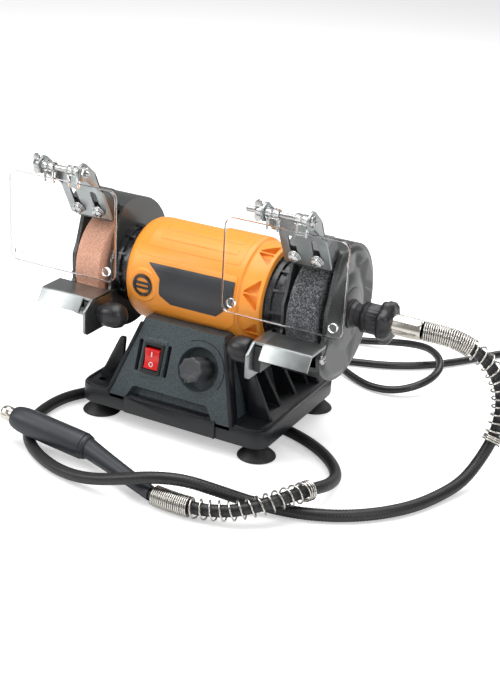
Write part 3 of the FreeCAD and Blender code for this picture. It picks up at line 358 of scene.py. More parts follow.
LOOKS = {
    "base_black": moulded("base_black", (0.009, 0.010, 0.012), 0.30, grain=1100, depth=0.00006),
    # base_panel is lighter and bluer than base_black, partly for the panel's own slate tone and partly as painted light
    # from the strong top light on the tilted panel; its pale flecks are painted glints.
    "base_panel": glint_speckled("base_panel", (0.030, 0.040, 0.045), (0.085, 0.108, 0.118), 0.38),
    "base_smooth": moulded("base_smooth", (0.012, 0.013, 0.015), 0.28, grain=900, depth=0.00002),
    "orange_body": moulded("orange_body", (0.90, 0.32, 0.035), 0.34, grain=1400, depth=0.00003, lighter=1.04),
    "label_grey": moulded("label_grey", (0.028, 0.029, 0.033), 0.38, grain=2200, depth=0.00002),
    "hub_black": moulded("hub_black", (0.014, 0.014, 0.016), 0.25, depth=0.00002),
    "guard_grey": moulded("guard_grey", (0.030, 0.033, 0.032), 0.34, grain=1700, depth=0.00003,
                          lighter=1.2, Coat_Weight=0.25),
    "stone_left": abrasive("stone_left", (0.52, 0.24, 0.15), (0.66, 0.34, 0.23), (0.78, 0.47, 0.34), 2200, 0.00008),
    "stone_right": abrasive("stone_right", (0.016, 0.016, 0.018), (0.055, 0.056, 0.06), (0.20, 0.20, 0.21), 1500, 0.00025),
    "zinc": metal("zinc", (0.36, 0.38, 0.38), 0.36, streak=(250, 250, 250), depth=0.00002),
    "steel": metal("steel", (0.58, 0.57, 0.55), 0.3, streak=(60, 900, 900)),
    "screw_steel": metal("screw_steel", (0.52, 0.52, 0.51), 0.22, streak=(500, 500, 500)),
    "spring_steel": metal("spring_steel", (0.62, 0.60, 0.56), 0.22, streak=(900, 900, 900)),
    "nickel": metal("nickel", (0.66, 0.62, 0.56), 0.2, streak=(900, 60, 60)),
    "clear": clear_plastic("clear", (0.99, 0.995, 1.0), 1.08, 0.01),
    "clear_edge": clear_plastic("clear_edge", (0.62, 0.60, 0.60), 1.3, 0.1),
    "clear_rib": clear_plastic("clear_rib", (0.93, 0.95, 0.95), 1.35, 0.05),
    "knob_black": moulded("knob_black", (0.014, 0.014, 0.016), 0.34, depth=0.00004),
    "dial_grey": moulded("dial_grey", (0.050, 0.052, 0.056), 0.46, grain=900, depth=0.00016),
    "switch_red": moulded("switch_red", (0.70, 0.012, 0.012), 0.22, depth=0.00001, lighter=1.1, Coat_Weight=0.3),
    "switch_black": moulded("switch_black", (0.013, 0.013, 0.014), 0.3, depth=0.00002),
    "mark_white": moulded("mark_white", (0.85, 0.84, 0.82), 0.45, depth=0.00001, lighter=1.0),
    "rubber_black": moulded("rubber_black", (0.013, 0.013, 0.014), 0.5, grain=700, depth=0.00004),
    "lead_black": moulded("lead_black", (0.010, 0.010, 0.011), 0.28, grain=500, depth=0.00002),
    "sheath_black": moulded("sheath_black", (0.010, 0.010, 0.011), 0.38, grain=800, depth=0.00003),
    "slate_grip": moulded("slate_grip", (0.020, 0.023, 0.028), 0.42, grain=900, depth=0.00006),
    "copper": metal("copper", (0.75, 0.36, 0.20), 0.3),
    "brass": metal("brass", (0.75, 0.56, 0.26), 0.3),
    "carbon": moulded("carbon", (0.03, 0.03, 0.03), 0.6),
    "laminations": metal("laminations", (0.32, 0.32, 0.33), 0.5, streak=(2500, 20, 20), depth=0.00005),
    "board_green": moulded("board_green", (0.02, 0.16, 0.06), 0.35),
}


def dress_cad_nodes():
    """Every CAD node gets the material of its slot; the nodes that a piece replaces are hidden later."""
    for name, item in frame["nodes"].items():
        look = LOOKS[SLOTS[name]]
        if not item.material_slots:
            item.data.materials.append(look)
        for entry in item.material_slots:
            entry.material = look


# ---------------------------------------------------------------- base

def on_panel(across, up, out):
    """A point of the sloping front panel: how far across, up it, and out of it."""
    return (across, PANEL_FOOT[0] + up * math.sin(PANEL_TILT) - out * math.cos(PANEL_TILT),
            PANEL_FOOT[1] + up * math.cos(PANEL_TILT) + out * math.sin(PANEL_TILT))


PLINTH = (75, 60, 11, 24.5)
PANEL_HIGH = 57.5
TOWER_TOP = 79
PANEL_TOP = (-31.5, 32)
PANEL_BOTTOM = (-48.5, 49)
TOWER_DEEP = (60, 41.5)
FIN_FOOT = 66
HOLE = (-63.5, -45.5)
SWITCH = (-19.2, 30.7)
KNOB = (17, 31.5)
WELL_R, WELL_DEEP = 15, 9


def tower():
    """The tapered housing between the plinth and the motor."""
    mesh = bmesh.new()
    low, high = PLINTH[3] - 4, TOWER_TOP
    share = 4 / (TOWER_TOP - PLINTH[3])
    rings = []
    for level, xs, deep in ((low, PANEL_BOTTOM, TOWER_DEEP[0]), (PLINTH[3], PANEL_BOTTOM, TOWER_DEEP[0]),
                            (high, PANEL_TOP, TOWER_DEEP[1])):
        rings.append([mesh.verts.new((x, y, level)) for x, y in
                      ((xs[0], -deep), (xs[1], -deep), (xs[1], deep), (xs[0], deep))])
    for near, far in zip(rings, rings[1:]):
        for i in range(4):
            mesh.faces.new((near[i], near[(i + 1) % 4], far[(i + 1) % 4], far[i]))
    mesh.faces.new(rings[0][::-1])
    mesh.faces.new(rings[-1])
    ease_edges(mesh, 1.2, 3)
    return mesh


def panel_cutters():
    """The dial's well, the switch's opening, the two slots beside it and the ledge's recess."""
    well = lathe([(-WELL_DEEP, WELL_R - 0.6), (-1, WELL_R), (0, WELL_R + 0.6), (2, WELL_R + 1.4)],
                 on_panel(*KNOB, 0), on_panel_normal(), 64)
    opening = plate(rounded(box_outline(SWITCH, 14.4, 21), 1), -14, 3, on_panel, 0)
    slots = [plate(rounded(box_outline((SWITCH[0] + x, SWITCH[1]), 3, 23), 1.4), -6, 3, on_panel, 0)
             for x in (-11.6, 11.6)]
    ledge = plate(rounded([(-37, -5), (-30.5, 8.4), (29, 8.4), (38, -5)], [0.1, 3, 3, 0.1]), -5, 8, on_panel, 0)
    saddle = lathe([(-90, MOTOR_R), (90, MOTOR_R)], (0, 0, SPINDLE_Z), (1, 0, 0), 128)
    return [well, opening, ledge, saddle] + slots


def on_panel_normal():
    return Vector((0, -math.cos(PANEL_TILT), math.sin(PANEL_TILT)))


def box_outline(centre, wide, high):
    x, y = centre
    return [(x - wide / 2, y - high / 2), (x + wide / 2, y - high / 2), (x + wide / 2, y + high / 2),
            (x - wide / 2, y + high / 2)]


def plinth():
    half, deep, low, high = PLINTH
    outline = rounded([(-half, -deep), (half, -deep), (half, deep), (-half, deep)], 13, 8)
    return plate(outline, low, high, ease=1.6)


def fins():
    """Sloping webs down both flanks, with dark pockets between them."""
    outline = [(-FIN_FOOT, 22), (FIN_FOOT, 22), (PANEL_TOP[1] + 1, 76), (PANEL_TOP[0] - 1, 76)]
    webs = []
    for y in (-33, -12, 12, 33):
        webs.append(plate(rounded(outline, 1), y - 1.6, y + 1.6, lambda a, b, c: (a, c, b), 0.5))
    return webs


def flank_details():
    """The front corner's upright rib, the boxed gussets beside it and the raised rims of the corner ledges."""
    details = []
    foot, top = PANEL_BOTTOM, PANEL_TOP
    for index, side in enumerate((-1, 1)):
        for y in (-1, 1):
            face = (lambda a, b, c, s=y: (a, s * -on_panel(a, b, c)[1], on_panel(a, b, c)[2]))
            rib = [(foot[index], -1), (foot[index] + side * 2.6, -1), (top[index] + side * 2.6, 54), (top[index], 54)]
            details.append(plate(rounded(rib, 0.5), -9, 1.0, face, 0.5))
        for y in (-38, 38):
            gusset = [(foot[index] + side * 4, 23), (foot[index] + side * 22, 23), (foot[index] + side * 5, 58),
                      (foot[index] + side * 1, 58)]
            details.append(plate(rounded(gusset, 1), y - 1.5, y + 1.5, lambda a, b, c: (a, c, b), 0.8))
    rim = rounded([(-73.6, -58.6), (73.6, -58.6), (73.6, 58.6), (-73.6, 58.6)], 12, 8)
    details.append(lathe_ring_on(rim, lambda a, b, c: (a, b, PLINTH[3] - 0.2 + c), 0.018, 1.1))
    return details


def build_base():
    whole = combined(tower(), panel_cutters())
    frame_ring = combined(plate(rounded(box_outline(SWITCH, 19, 27.4), 0.8), -1, 0.5, on_panel, 0.3),
                          [plate(box_outline(SWITCH, 14.4, 21), -3, 3, on_panel, 0)])
    # The tower and its panel take the base_panel plastic, with its painted top light and painted glints.
    piece("base_tower", merged(whole, frame_ring), LOOKS["base_panel"], "frame")
    corner_hole = lathe([(14, 3.0), (40, 3.0)], (HOLE[0], HOLE[1], 0), (0, 0, 1), 32)
    floor_plate = combined(plinth(), [corner_hole])
    saddle = lathe([(-90, MOTOR_R - 0.2), (90, MOTOR_R - 0.2)], (0, 0, SPINDLE_Z), (1, 0, 0), 128)
    webs = combined(merged(*fins()), [saddle])
    ledge = block((-29.5, -60.2, 23), (30, -54, 25.4), 0.5)
    skirt = plate(rounded([(-36, 11.4), (37.5, 11.4), (37.5, 24.0), (-36, 24.0)], 0.8), 59, 61,
                  lambda a, b, c: (a, -c, b), 0.6)
    seam = plate(rounded([(36.6, 11.4), (38, 11.4), (38, 24.4), (36.6, 24.4)], 0.4), 59, 61.5,
                 lambda a, b, c: (a, -c, b), 0.4)
    piece("base_shell", merged(floor_plate, webs, ledge, skirt, seam, *flank_details()), LOOKS["base_black"], "frame",
          ["base_housing"])
    arc = []
    for radius, angles in ((20.4, range(120, -31, -5)), (19.9, range(-30, 121, 5))):
        arc += [(KNOB[0] + radius * math.cos(math.radians(a)), KNOB[1] + radius * math.sin(math.radians(a)))
                for a in angles]
    piece("dial_scale", plate(arc, -0.2, 0.25, on_panel, 0), LOOKS["base_smooth"], "frame")


def build_switch():
    outer = plate(rounded(box_outline(SWITCH, 16, 22.6), 1.2), -0.5, 1.7, on_panel, 0.5)
    hole = plate(rounded(box_outline(SWITCH, 12.2, 17), 0.4), -3, 5, on_panel, 0)
    inner = plate(rounded(box_outline(SWITCH, 14, 20.4), 1), -12, 1.2, on_panel, 0.2)
    well = plate(box_outline(SWITCH, 12.2, 17), -9, 6, on_panel, 0)
    rim = combined(outer, [hole])
    body = combined(inner, [well])
    piece("switch_bezel", merged(rim, body), LOOKS["switch_black"], "frame", ["switch_frame"])
    lean = math.radians(10)
    pivot = Vector((SWITCH[1], -2.4))

    def on_rocker(out, up, across):
        """A point of the paddle, whose top is tipped out about its axle."""
        turned = Vector((up * math.cos(lean) - out * math.sin(lean), up * math.sin(lean) + out * math.cos(lean)))
        return on_panel(SWITCH[0] + across, pivot[0] + turned[0], pivot[1] + turned[1])

    side = [(-2.5, -7.2), (5.0, -7.2)] + [(3.9 + 1.1 * (k / 7.2) ** 2, k) for k in (-5, -2.5, 0, 2.5, 5)] \
        + [(5.0, 7.2), (-2.5, 7.2)]
    paddle = plate(side, -5.7, 5.7, on_rocker, 0.35)
    piece("rocker_paddle", paddle, LOOKS["switch_red"], "rocker", ["rocker"])
    stroke = plate(box_outline((4.55, 3.7), 0.4, 3.4), -0.4, 0.4, on_rocker, 0)
    ring_out = [(1.7 * math.cos(a * math.pi / 16), -3.7 + 1.8 * math.sin(a * math.pi / 16)) for a in range(32)]
    ring = lathe_ring_on(ring_out, lambda u, v, w: on_rocker(4.4 + w, v, u))
    piece("rocker_marks", merged(stroke, ring), LOOKS["mark_white"], "rocker")


def lathe_ring_on(outline, place, width=0.32, thick=0.3):
    """A narrow raised band that follows a closed outline."""
    mesh = bmesh.new()
    middle = Vector((sum(p[0] for p in outline) / len(outline), sum(p[1] for p in outline) / len(outline)))
    rings = []
    for share, height in ((1, 0), (1, thick), (1 - width, thick), (1 - width, 0)):
        rings.append([mesh.verts.new(place(*(middle + (Vector(p) - middle) * share), height)) for p in outline])
    for near, far in zip(rings, rings[1:] + rings[:1]):
        for i in range(len(outline)):
            k = (i + 1) % len(outline)
            mesh.faces.new((near[i], near[k], far[k], far[i]))
    bmesh.ops.recalc_face_normals(mesh, faces=mesh.faces)
    return mesh


def build_dial():
    normal = on_panel_normal()

    def lobes(angle, along):
        return 1 - 0.05 * (1 - math.cos(8 * angle))

    profile = [(-8.6, 8.4), (-7, 8.6), (10.2, 9.0), (11.3, 8.8), (11.9, 8.0), (12.0, 5.8), (11.7, 5.2), (11.7, 2),
               (11.7, 0.3)]
    knob = lathe(profile, on_panel(*KNOB, 0), normal, 128, lobes)
    pointer = plate(box_outline((KNOB[0] - 2, KNOB[1] - 8.2), 0.9, 2.6), 2, 12.1, on_panel, 0.2)
    piece("speed_dial", merged(knob, pointer), LOOKS["dial_grey"], "speed_knob", ["speed_knob"])


def build_feet():
    cups = []
    for across in (-1, 1):
        for deep in (-1, 1):
            profile = [(10.9, 3), (10.9, 5.8), (9.2, 5.9), (8.2, 5.4), (7.4, 5.9), (5.2, 8.4), (2.6, 11.6),
                       (0.9, 13.4), (0.2, 13.7), (0.0, 13.3), (0.6, 12.2), (3.2, 7.5), (3.9, 3.2), (4.0, 0.4)]
            cups.append(lathe(profile, (across * 64, deep * 46, 0), (0, 0, 1), 56))
    piece("suction_cups", merged(*cups), LOOKS["rubber_black"], "frame", ["suction_feet"], smooth=50)


# ---------------------------------------------------------------- motor

def on_motor(along, around, out):
    """A point above the motor's front: distance along it, around it from the level of the axis, and out."""
    angle = around / MOTOR_R
    return (along, -(MOTOR_R + out) * math.cos(angle), SPINDLE_Z + (MOTOR_R + out) * math.sin(angle))


def motor_pockets():
    """Three-cornered pockets round the right end, which leave slanting ribs and a closed rim."""
    pockets = []
    for step in range(14):
        turn = Matrix.Translation((0, 0, SPINDLE_Z)) @ Matrix.Rotation(math.radians(step * -360 / 14 - 6), 4, "X") \
            @ Matrix.Translation((0, 0, -SPINDLE_Z))
        outline = [(39.5, -7.4), (51.5, -7.4), (51.5, 3.2)] if step % 2 else [(39.5, 7.4), (51.5, 7.4), (51.5, -3.2)]
        pocket = plate(rounded(outline, 1), 30.5, 42, lambda a, b, c: (a, -c, SPINDLE_Z + b), 0)
        bmesh.ops.transform(pocket, matrix=turn, verts=pocket.verts)
        pockets.append(pocket)
    return pockets


def build_motor():
    end, radius = MOTOR_END, MOTOR_R
    profile = [(-end, 24), (-end, radius - 7), (-end + 0.7, radius - 4.6), (-end + 2.4, radius - 2.2),
               (-end + 5.2, radius - 0.7), (-end + 8.5, radius - 0.2), (-end + 10.4, radius - 0.1),
               (-end + 10.7, radius), (36, radius), (37.6, radius - 0.5), (38.4, radius - 1.6), (39, radius - 2),
               (end - 1.4, radius - 2.4), (end - 0.4, radius - 3), (end, radius - 4), (end, 24)]
    shell = lathe(profile, (0, 0, SPINDLE_Z), (1, 0, 0), 160)
    cap_ways = [lathe([(-45, 8), (-28, 8)], (-36.7, 0, SPINDLE_Z), (0, 1, 0), 48),
                lathe([(28, 8), (45, 8)], (-36.7, 0, SPINDLE_Z), (0, 1, 0), 48)]
    shell = combined(shell, motor_pockets() + cap_ways)
    collars = [lathe([(side * 31, 8.05), (side * 31, 12.6), (side * (radius - 1.2), 12.4), (side * (radius + 0.5), 11.4),
                      (side * (radius + 0.7), 10.6), (side * (radius + 0.7), 8.6), (side * (radius + 0.3), 8.05)],
                     (-36.7, 0, SPINDLE_Z), (0, 1, 0), 64) for side in (-1, 1)]
    collars = [combined(collar, [lathe([(-50, 8.02), (50, 8.02)], (-36.7, 0, SPINDLE_Z), (0, 1, 0), 64)])
               for collar in collars]
    belt = plate(rounded([(-47, 21.5), (-47, -9), (-38, -16), (-27, -24), (27, -21.5), (36, -13), (36, 21.5)], 3),
                 -1.2, 0.75, on_motor, 0.5, slices=2.5)
    upper = [plate(rounded([(-33, low), (29, low), (29, high), (-33, high)], 1.5), -1, 0.5, on_motor, 0.35, slices=2.5)
             for low, high in ((36, 41), (46, 62))]
    ridge = plate(rounded([(-41, 29), (34, 29), (34, 68), (-41, 68)], 3), -1, 0.25, on_motor, 0.2, slices=2.5)
    piece("motor_shell", merged(shell, *collars, belt, ridge, *upper), LOOKS["orange_body"], "frame",
          ["motor_housing"])
    label = rounded([(-34.5, 17), (35, 17.6), (35.6, 2.4), (22, -9.8), (-14, -9.7), (-23.2, -4), (-23.1, 7.4), (-28, 12)],
                    [0.6, 1.2, 1.2, 1.2, 2, 3, 3, 3])
    piece("label_plate", plate(label, 0.5, 1.15, on_motor, 0.2, slices=2.5), LOOKS["label_grey"], "frame")
    line = plate(box_outline((4, 1.2), 24, 0.35), 1.0, 1.3, on_motor, 0, slices=2.5)
    piece("label_line", line, LOOKS["guard_grey"], "frame")


def build_brush_caps():
    caps = []
    for side in (-1, 1):
        face = MOTOR_R + 1.7
        profile = [(side * 30, 3), (side * 30, 7.8), (side * (face - 0.5), 7.8), (side * face, 7.3),
                   (side * face, 6.0), (side * (face - 1.4), 5.7), (side * (face - 1.4), 0.3)]
        cap = lathe(profile, (-36.7, 0, SPINDLE_Z), (0, 1, 0), 56)
        bar = block((-36.7 - 5.6, min(side * (face - 2), side * (face - 0.3)), SPINDLE_Z - 2.6),
                    (-36.7 + 5.6, max(side * (face - 2), side * (face - 0.3)), SPINDLE_Z + 2.6), 0.4)
        slot = block((-36.7 - 5, min(side * (face - 1.2), side * (face + 1)), SPINDLE_Z - 0.8),
                     (-36.7 + 5, max(side * (face - 1.2), side * (face + 1)), SPINDLE_Z + 0.8), 0)
        caps.append(merged(cap, combined(bar, [slot])))
    piece("brush_cap_pair", merged(*caps), LOOKS["hub_black"], "frame", ["brush_caps"])


def build_hubs():
    for name, side in SIDES:
        profile = [(side * (MOTOR_END - 4), 12), (side * (MOTOR_END - 4), MOTOR_R - 6.5), (side * MOTOR_END, MOTOR_R - 6.5),
                   (side * (MOTOR_END + 0.8), 29), (side * (MOTOR_END + 4), 28.6), (side * (MOTOR_END + 4.6), 26.4),
                   (side * (MOTOR_END + 8.4), 25.8), (side * (MOTOR_END + 9), 27.6), (side * 68, 27.6), (side * 68, 12)]
        hub = lathe(profile, (0, 0, SPINDLE_Z), (1, 0, 0), 96)
        ribs = []
        for k in range(12):
            turn = Matrix.Translation((0, 0, SPINDLE_Z)) @ Matrix.Rotation(math.radians(k * 30), 4, "X")
            low, high = sorted((side * (MOTOR_END + 3), side * 67))
            rib = block((low, 24, -1.1), (high, 28.4, 1.1), 0.5)
            bmesh.ops.transform(rib, matrix=turn, verts=rib.verts)
            ribs.append(rib)
        piece("end_hub_" + name, merged(hub, *ribs), LOOKS["hub_black"], "frame", ["end_bracket_" + name])


# ---------------------------------------------------------------- wheels and guards

def build_wheels():
    for name, side in SIDES:
        rough = 0.10 if side < 0 else 0.22
        near, far = side * 74.5, side * 94.5
        steps = 14
        face = [(near + (far - near) * (k + 1) / (steps + 2), WHEEL_R - 0.25) for k in range(steps + 1)]
        profile = [(near, 5.05), (near, 15), (near, 24), (near, 31), (near, WHEEL_R - 1), (near + side * 0.5, WHEEL_R - 0.4)]
        profile += face
        profile += [(far - side * 0.5, WHEEL_R - 0.4), (far, WHEEL_R - 1), (far, 31), (far, 24), (far, 15), (far, 5.05)]
        stone = lathe(profile, (0, 0, SPINDLE_Z), (1, 0, 0), 260)
        for vertex in stone.verts:
            if math.hypot(vertex.co.y, vertex.co.z - SPINDLE_Z) > 16:
                push = noise.noise_vector(vertex.co * 0.9)
                vertex.co += push * rough
        piece("stone_" + name, stone, LOOKS["stone_" + name], "spindle", ["wheel_" + name], smooth=60)


MOUTH = [(-13, 48), (-20, 38.4), (-27, 16.4), (-31, 8.4), (-30, -10.6), (-37, -22.6), (-34, -35)]
COVER_START, COVER_FACE = 98.5, 101.3


def rim_reach(angle):
    """How far the guard's outline is from the spindle in one direction: its circle, or the edge of the mouth."""
    direction = Vector((math.cos(angle), math.sin(angle)))
    reach = GUARD_R
    for first, last in zip(MOUTH, MOUTH[1:]):
        first, last = Vector(first), Vector(last)
        run = last - first
        across = direction.x * -run.y + direction.y * run.x
        if abs(across) < 1e-6:
            continue
        distance = (first.x * -run.y + first.y * run.x) / across
        share = (direction.x * first.y - direction.y * first.x) / across
        if distance > 0 and -0.001 <= share <= 1.001:
            reach = min(reach, distance)
    return reach


def smooth_step(low, high, value):
    share = min(1, max(0, (value - low) / (high - low)))
    return share * share * (3 - 2 * share)


def emboss(y, z):
    """How far the cover's face stands out: a raised shield shape with a valley winding down to the front lobe."""
    radius = math.hypot(y, z)
    field = smooth_step(GUARD_R - 1.5, GUARD_R - 6, radius)
    valley_at = 6 + 9 * math.sin((z + 8) / 15)
    valley = math.exp(-((y - valley_at) / 5.5) ** 2) * smooth_step(14, 20, z + 40) * smooth_step(44, 34, z)
    front = smooth_step(4, -8, y + 0.35 * z) * smooth_step(-4, -16, z)
    back = smooth_step(10, 24, y - 0.25 * z)
    return 2.1 * field * (0.15 + 0.85 * max(front, back, smooth_step(26, 34, z))) * (1 - 0.75 * valley)


def cover_mesh(side):
    mesh = bmesh.new()
    turns, steps = 180, 30
    rings = []
    for k in range(steps + 1):
        share = (k / steps) ** 0.85
        ring = []
        for i in range(turns):
            angle = 2 * math.pi * i / turns
            reach = rim_reach(angle)
            radius = 5 + (reach - 5) * share
            y, z = radius * math.cos(angle), radius * math.sin(angle)
            edge = smooth_step(0, 2.2, reach - radius)
            height = COVER_FACE - 1.2 + 1.2 * edge + emboss(y, z) * smooth_step(0, 5, reach - radius)
            height = max(height, COVER_FACE + 4.0 * smooth_step(33, 18, radius))
            ring.append(mesh.verts.new((side * height, y, SPINDLE_Z + z)))
        rings.append(ring)
    skirt = [mesh.verts.new((side * COVER_START, v.co.y, v.co.z)) for v in rings[-1]]
    hidden = [mesh.verts.new((side * COVER_START, v.co.y, v.co.z)) for v in rings[0]]
    rings = [hidden] + rings + [skirt, hidden]
    for near, far in zip(rings, rings[1:]):
        for i in range(turns):
            m = (i + 1) % turns
            mesh.faces.new((near[i], near[m], far[m], far[i]))
    bmesh.ops.recalc_face_normals(mesh, faces=mesh.faces)
    return mesh


def build_guards():
    for name, side in SIDES:
        out = 106 - 0.1
        boss = [(side * 99, 5), (side * 99, 20.5), (side * 101.5, 20.2), (side * 103, 19.4), (side * 104.6, 18.8),
                (side * (out - 0.5), 18.3), (side * out, 17.5), (side * out, 5)]
        boss = lathe(boss, (0, 0, SPINDLE_Z), (1, 0, 0), 80)
        parts = [cover_mesh(side), boss]
        if side < 0:
            parts.append(lathe([(side * 105, 0.2), (side * out, 0.2), (side * out, 12), (side * 105, 12)],
                               (0, 0, SPINDLE_Z), (1, 0, 0), 64))
        piece("cover_" + name, merged(*parts), LOOKS["guard_grey"], "frame", ["guard_cover_" + name], smooth=40)


def screw(centre, axis, head, thick, washer=0.0):
    """A pan-head screw with a cross recess, and a flat washer and a split washer where one is asked for."""
    axis = Vector(axis).normalized()
    first, second = side_axes(axis)
    base = Vector(centre)
    parts = []
    if washer:
        parts.append(lathe(ring_profile(0, 0.8, 0.5, washer / 2, 0.15), base, axis, 36))
        parts.append(lathe(ring_profile(0.8, 1.7, 0.5, head / 2 + 0.5, 0.2), base, axis, 36))
        base = base + axis * 1.7
    dome = [(0, head / 2), (thick * 0.45, head / 2), (thick * 0.75, head * 0.42), (thick * 0.95, head * 0.25),
            (thick, 0.1)]
    cuts = []
    for across in (first, second):
        mesh = bmesh.new()
        other = axis.cross(across)
        turn = Matrix((across, other, axis)).transposed().to_4x4()
        size = Matrix.Diagonal((head * 0.55, head * 0.12, thick, 1))
        bmesh.ops.create_cube(mesh, size=1, matrix=Matrix.Translation(base + axis * thick) @ turn @ size)
        cuts.append(mesh)
    parts.append(combined(lathe(dome, base, axis, 36), cuts))
    return merged(*parts)


def on_bracket(across, up, out):
    return (across, BRACKET_FOOT[0] - up * math.sin(BRACKET_LEAN) - out * math.cos(BRACKET_LEAN),
            BRACKET_FOOT[1] + up * math.cos(BRACKET_LEAN) - out * math.sin(BRACKET_LEAN))


def build_screws():
    covers = [screw((side * (COVER_FACE + 0.3), y, SPINDLE_Z + z), (side, 0, 0), 7.5, 2.3)
              for _, side in SIDES for y, z in ((-10.6, 38.2), (-33.5, -22.9))]
    piece("cover_screw_set", merged(*covers), LOOKS["screw_steel"], "frame", ["cover_screws"])
    out = Vector((0, -math.cos(BRACKET_LEAN), -math.sin(BRACKET_LEAN)))
    brackets = [screw(on_bracket(side * BRACKET_X + across * 8.1, 7, 1.9), out, 7.2, 2.4, 9.4)
                for _, side in SIDES for across in (-1, 1)]
    piece("bracket_screw_set", merged(*brackets), LOOKS["screw_steel"], "frame", ["bracket_screws"])


# ---------------------------------------------------------------- brackets, shields and rests

BRACKET_WIDE, PLATE_HIGH, PLATE_THICK = 33.4, 44, 1.6
SLOT_ACROSS = 8.1


def build_brackets():
    for name, side in SIDES:
        middle = side * BRACKET_X
        half = BRACKET_WIDE / 2
        sheet = plate(rounded(box_outline((0, PLATE_HIGH / 2), BRACKET_WIDE, PLATE_HIGH), 1.5), 0, PLATE_THICK, None, 0.3)
        slots = [plate(rounded(box_outline((x, 14.6), 5, 20), 2.4), -2, 4, None, 0) for x in (-SLOT_ACROSS, SLOT_ACROSS)]
        sheet = combined(sheet, slots)
        for vertex in sheet.verts:
            vertex.co = on_bracket(middle + vertex.co.x, vertex.co.y, vertex.co.z)
        bmesh.ops.recalc_face_normals(sheet, faces=sheet.faces)
        ears = []
        for edge in (-half, half - PLATE_THICK):
            ear = rounded([(0.2, 24), (HINGE_OUT - 1, HINGE_UP - 8), (HINGE_OUT + 5, HINGE_UP - 4), (HINGE_OUT + 5, HINGE_UP + 5),
                           (HINGE_OUT - 5, HINGE_UP + 5), (0.2, PLATE_HIGH)], [0.3, 3, 4, 4.5, 4.5, 0.3])
            ears.append(plate(ear, edge, edge + PLATE_THICK, lambda a, b, c, m=middle: on_bracket(m + c, b, a), 0.3))
        hole = lathe([(-40, 2.1), (40, 2.1)], on_bracket(middle, HINGE_UP, HINGE_OUT), (1, 0, 0), 32)
        ears = combined(merged(*ears), [hole])
        piece("bracket_sheet_" + name, merged(sheet, ears), LOOKS["zinc"], "shield_bracket_" + name,
              ["shield_bracket_" + name])


def build_wings():
    wide = BRACKET_WIDE
    for name, side in SIDES:
        hinge = Vector(on_bracket(side * BRACKET_X, HINGE_UP, HINGE_OUT))
        near = hinge - Vector((wide / 2 + 0.3, 0, 0))
        hub = lathe([(0, 2.1), (0, 3.7), (-1, 3.7), (-4.2, 3.2), (-5, 2.7), (-5, 0.3)], near, (1, 0, 0), 40)
        wings = []
        for up in (-1, 1):
            outline = rounded([(-0.6, 1.5), (-5.2, 1.5), (-6.4, 4.5), (-4.6, 7.3), (-2.2, 6.8), (-1.0, 4)],
                              [0.2, 0.2, 1.6, 1.6, 1.2, 0.8])
            wings.append(plate([(a, b * up) for a, b in outline], -0.75, 0.75,
                               lambda a, b, c, n=near: (n.x + a, n.y + c, n.z + b), 0.4))
        if side < 0:
            rod = lathe([(-1, 1.98), (37, 1.98), (38, 1.98), (39.2, 1.5), (39.2, 0.2)], near, (1, 0, 0), 40)
            piece("wing_bolt_body", merged(hub, rod, *wings), LOOKS["screw_steel"], "wing_bolt_left",
                  ["wing_bolt_left"])
            far = hinge + Vector((wide / 2, 0, 0))
            nut = lathe([(0, 2.05), (0, 3.8), (0.4, 4.04), (2.8, 4.04), (3.2, 3.7), (3.2, 2.05)], far, (1, 0, 0), 6)
            washer = lathe(ring_profile(0, 0.6, 2.05, 4.6, 0.15), far, (1, 0, 0), 36)
            piece("hinge_nut_body", merged(nut, washer), LOOKS["screw_steel"], "shield_bracket_left",
                  ["hinge_nut_left"])
            continue
        piece("wing_nut_body", merged(hub, *wings), LOOKS["screw_steel"], "wing_nut_right", ["wing_nut_right"])
        rod = lathe([(-11.6, 0.2), (-11.6, 1.6), (-11, 1.98), (35, 1.98)], near, (1, 0, 0), 40)
        head = screw(hinge + Vector((wide / 2, 0, 0)), (1, 0, 0), 7.5, 2.4)
        piece("hinge_bolt_body", merged(rod, head), LOOKS["screw_steel"], "shield_bracket_right",
              ["hinge_bolt_right"])


def build_shields():
    wide, high, thick, drop = 87, 64.5, 2, 8.2
    for name, side in SIDES:
        hinge = Vector(on_bracket(side * BRACKET_X, HINGE_UP, HINGE_OUT))
        place = lambda a, b, c, h=hinge: (h.x + a, h.y + c, h.z + b)
        top, bottom = -drop, -drop - high
        pane = plate(rounded([(-wide / 2, bottom), (wide / 2, bottom), (wide / 2, top), (-wide / 2, top)], 7, 8),
                     -thick / 2, thick / 2, place, 0.35)
        extras = []
        for x in (-10, 10):
            for turn in (-1, 1):
                extras.append(lathe(ring_profile(x - 4.5 if turn < 0 else x + 0.3, x - 0.3 if turn < 0 else x + 4.5,
                                                 2.1, 3.6, 0.4), hinge, (1, 0, 0), 36))
            extras.append(plate(box_outline((x, -drop / 2 - 2), 8.4, drop), -0.8, 0.8, place, 0.3))
            for rib in (-3.6, 3.6):
                extras.append(plate([(-2.4, -2), (2.4, -2), (1.1, -drop - 3), (-1.1, -drop - 3)], x + rib - 0.45,
                                    x + rib + 0.45, lambda a, b, c, h=hinge: (h.x + c, h.y + a, h.z + b), 0.2))
        for across in (-1, 1):
            centre = hinge + Vector((across * (wide / 2 - 7), 0, bottom + 7))
            extras.append(lathe(ring_profile(-1.5, 1.5, 2.2, 3.0, 0.2), centre, (0, 1, 0), 36))
        body = "eye_shield_" + name
        piece("shield_pane_" + name, pane, LOOKS["clear"], body, [body])
        edge = lathe_ring_on(rounded([(-wide / 2 - 0.05, bottom - 0.05), (wide / 2 + 0.05, bottom - 0.05),
                                      (wide / 2 + 0.05, top + 0.05), (-wide / 2 - 0.05, top + 0.05)], 7, 8),
                             lambda a, b, c, p=place: p(a, b, c - thick / 2 - 0.1), 0.008, thick + 0.2)
        piece("shield_edge_" + name, edge, LOOKS["clear_edge"], body)
        piece("shield_hinge_" + name, merged(*extras), LOOKS["clear_rib"], body)


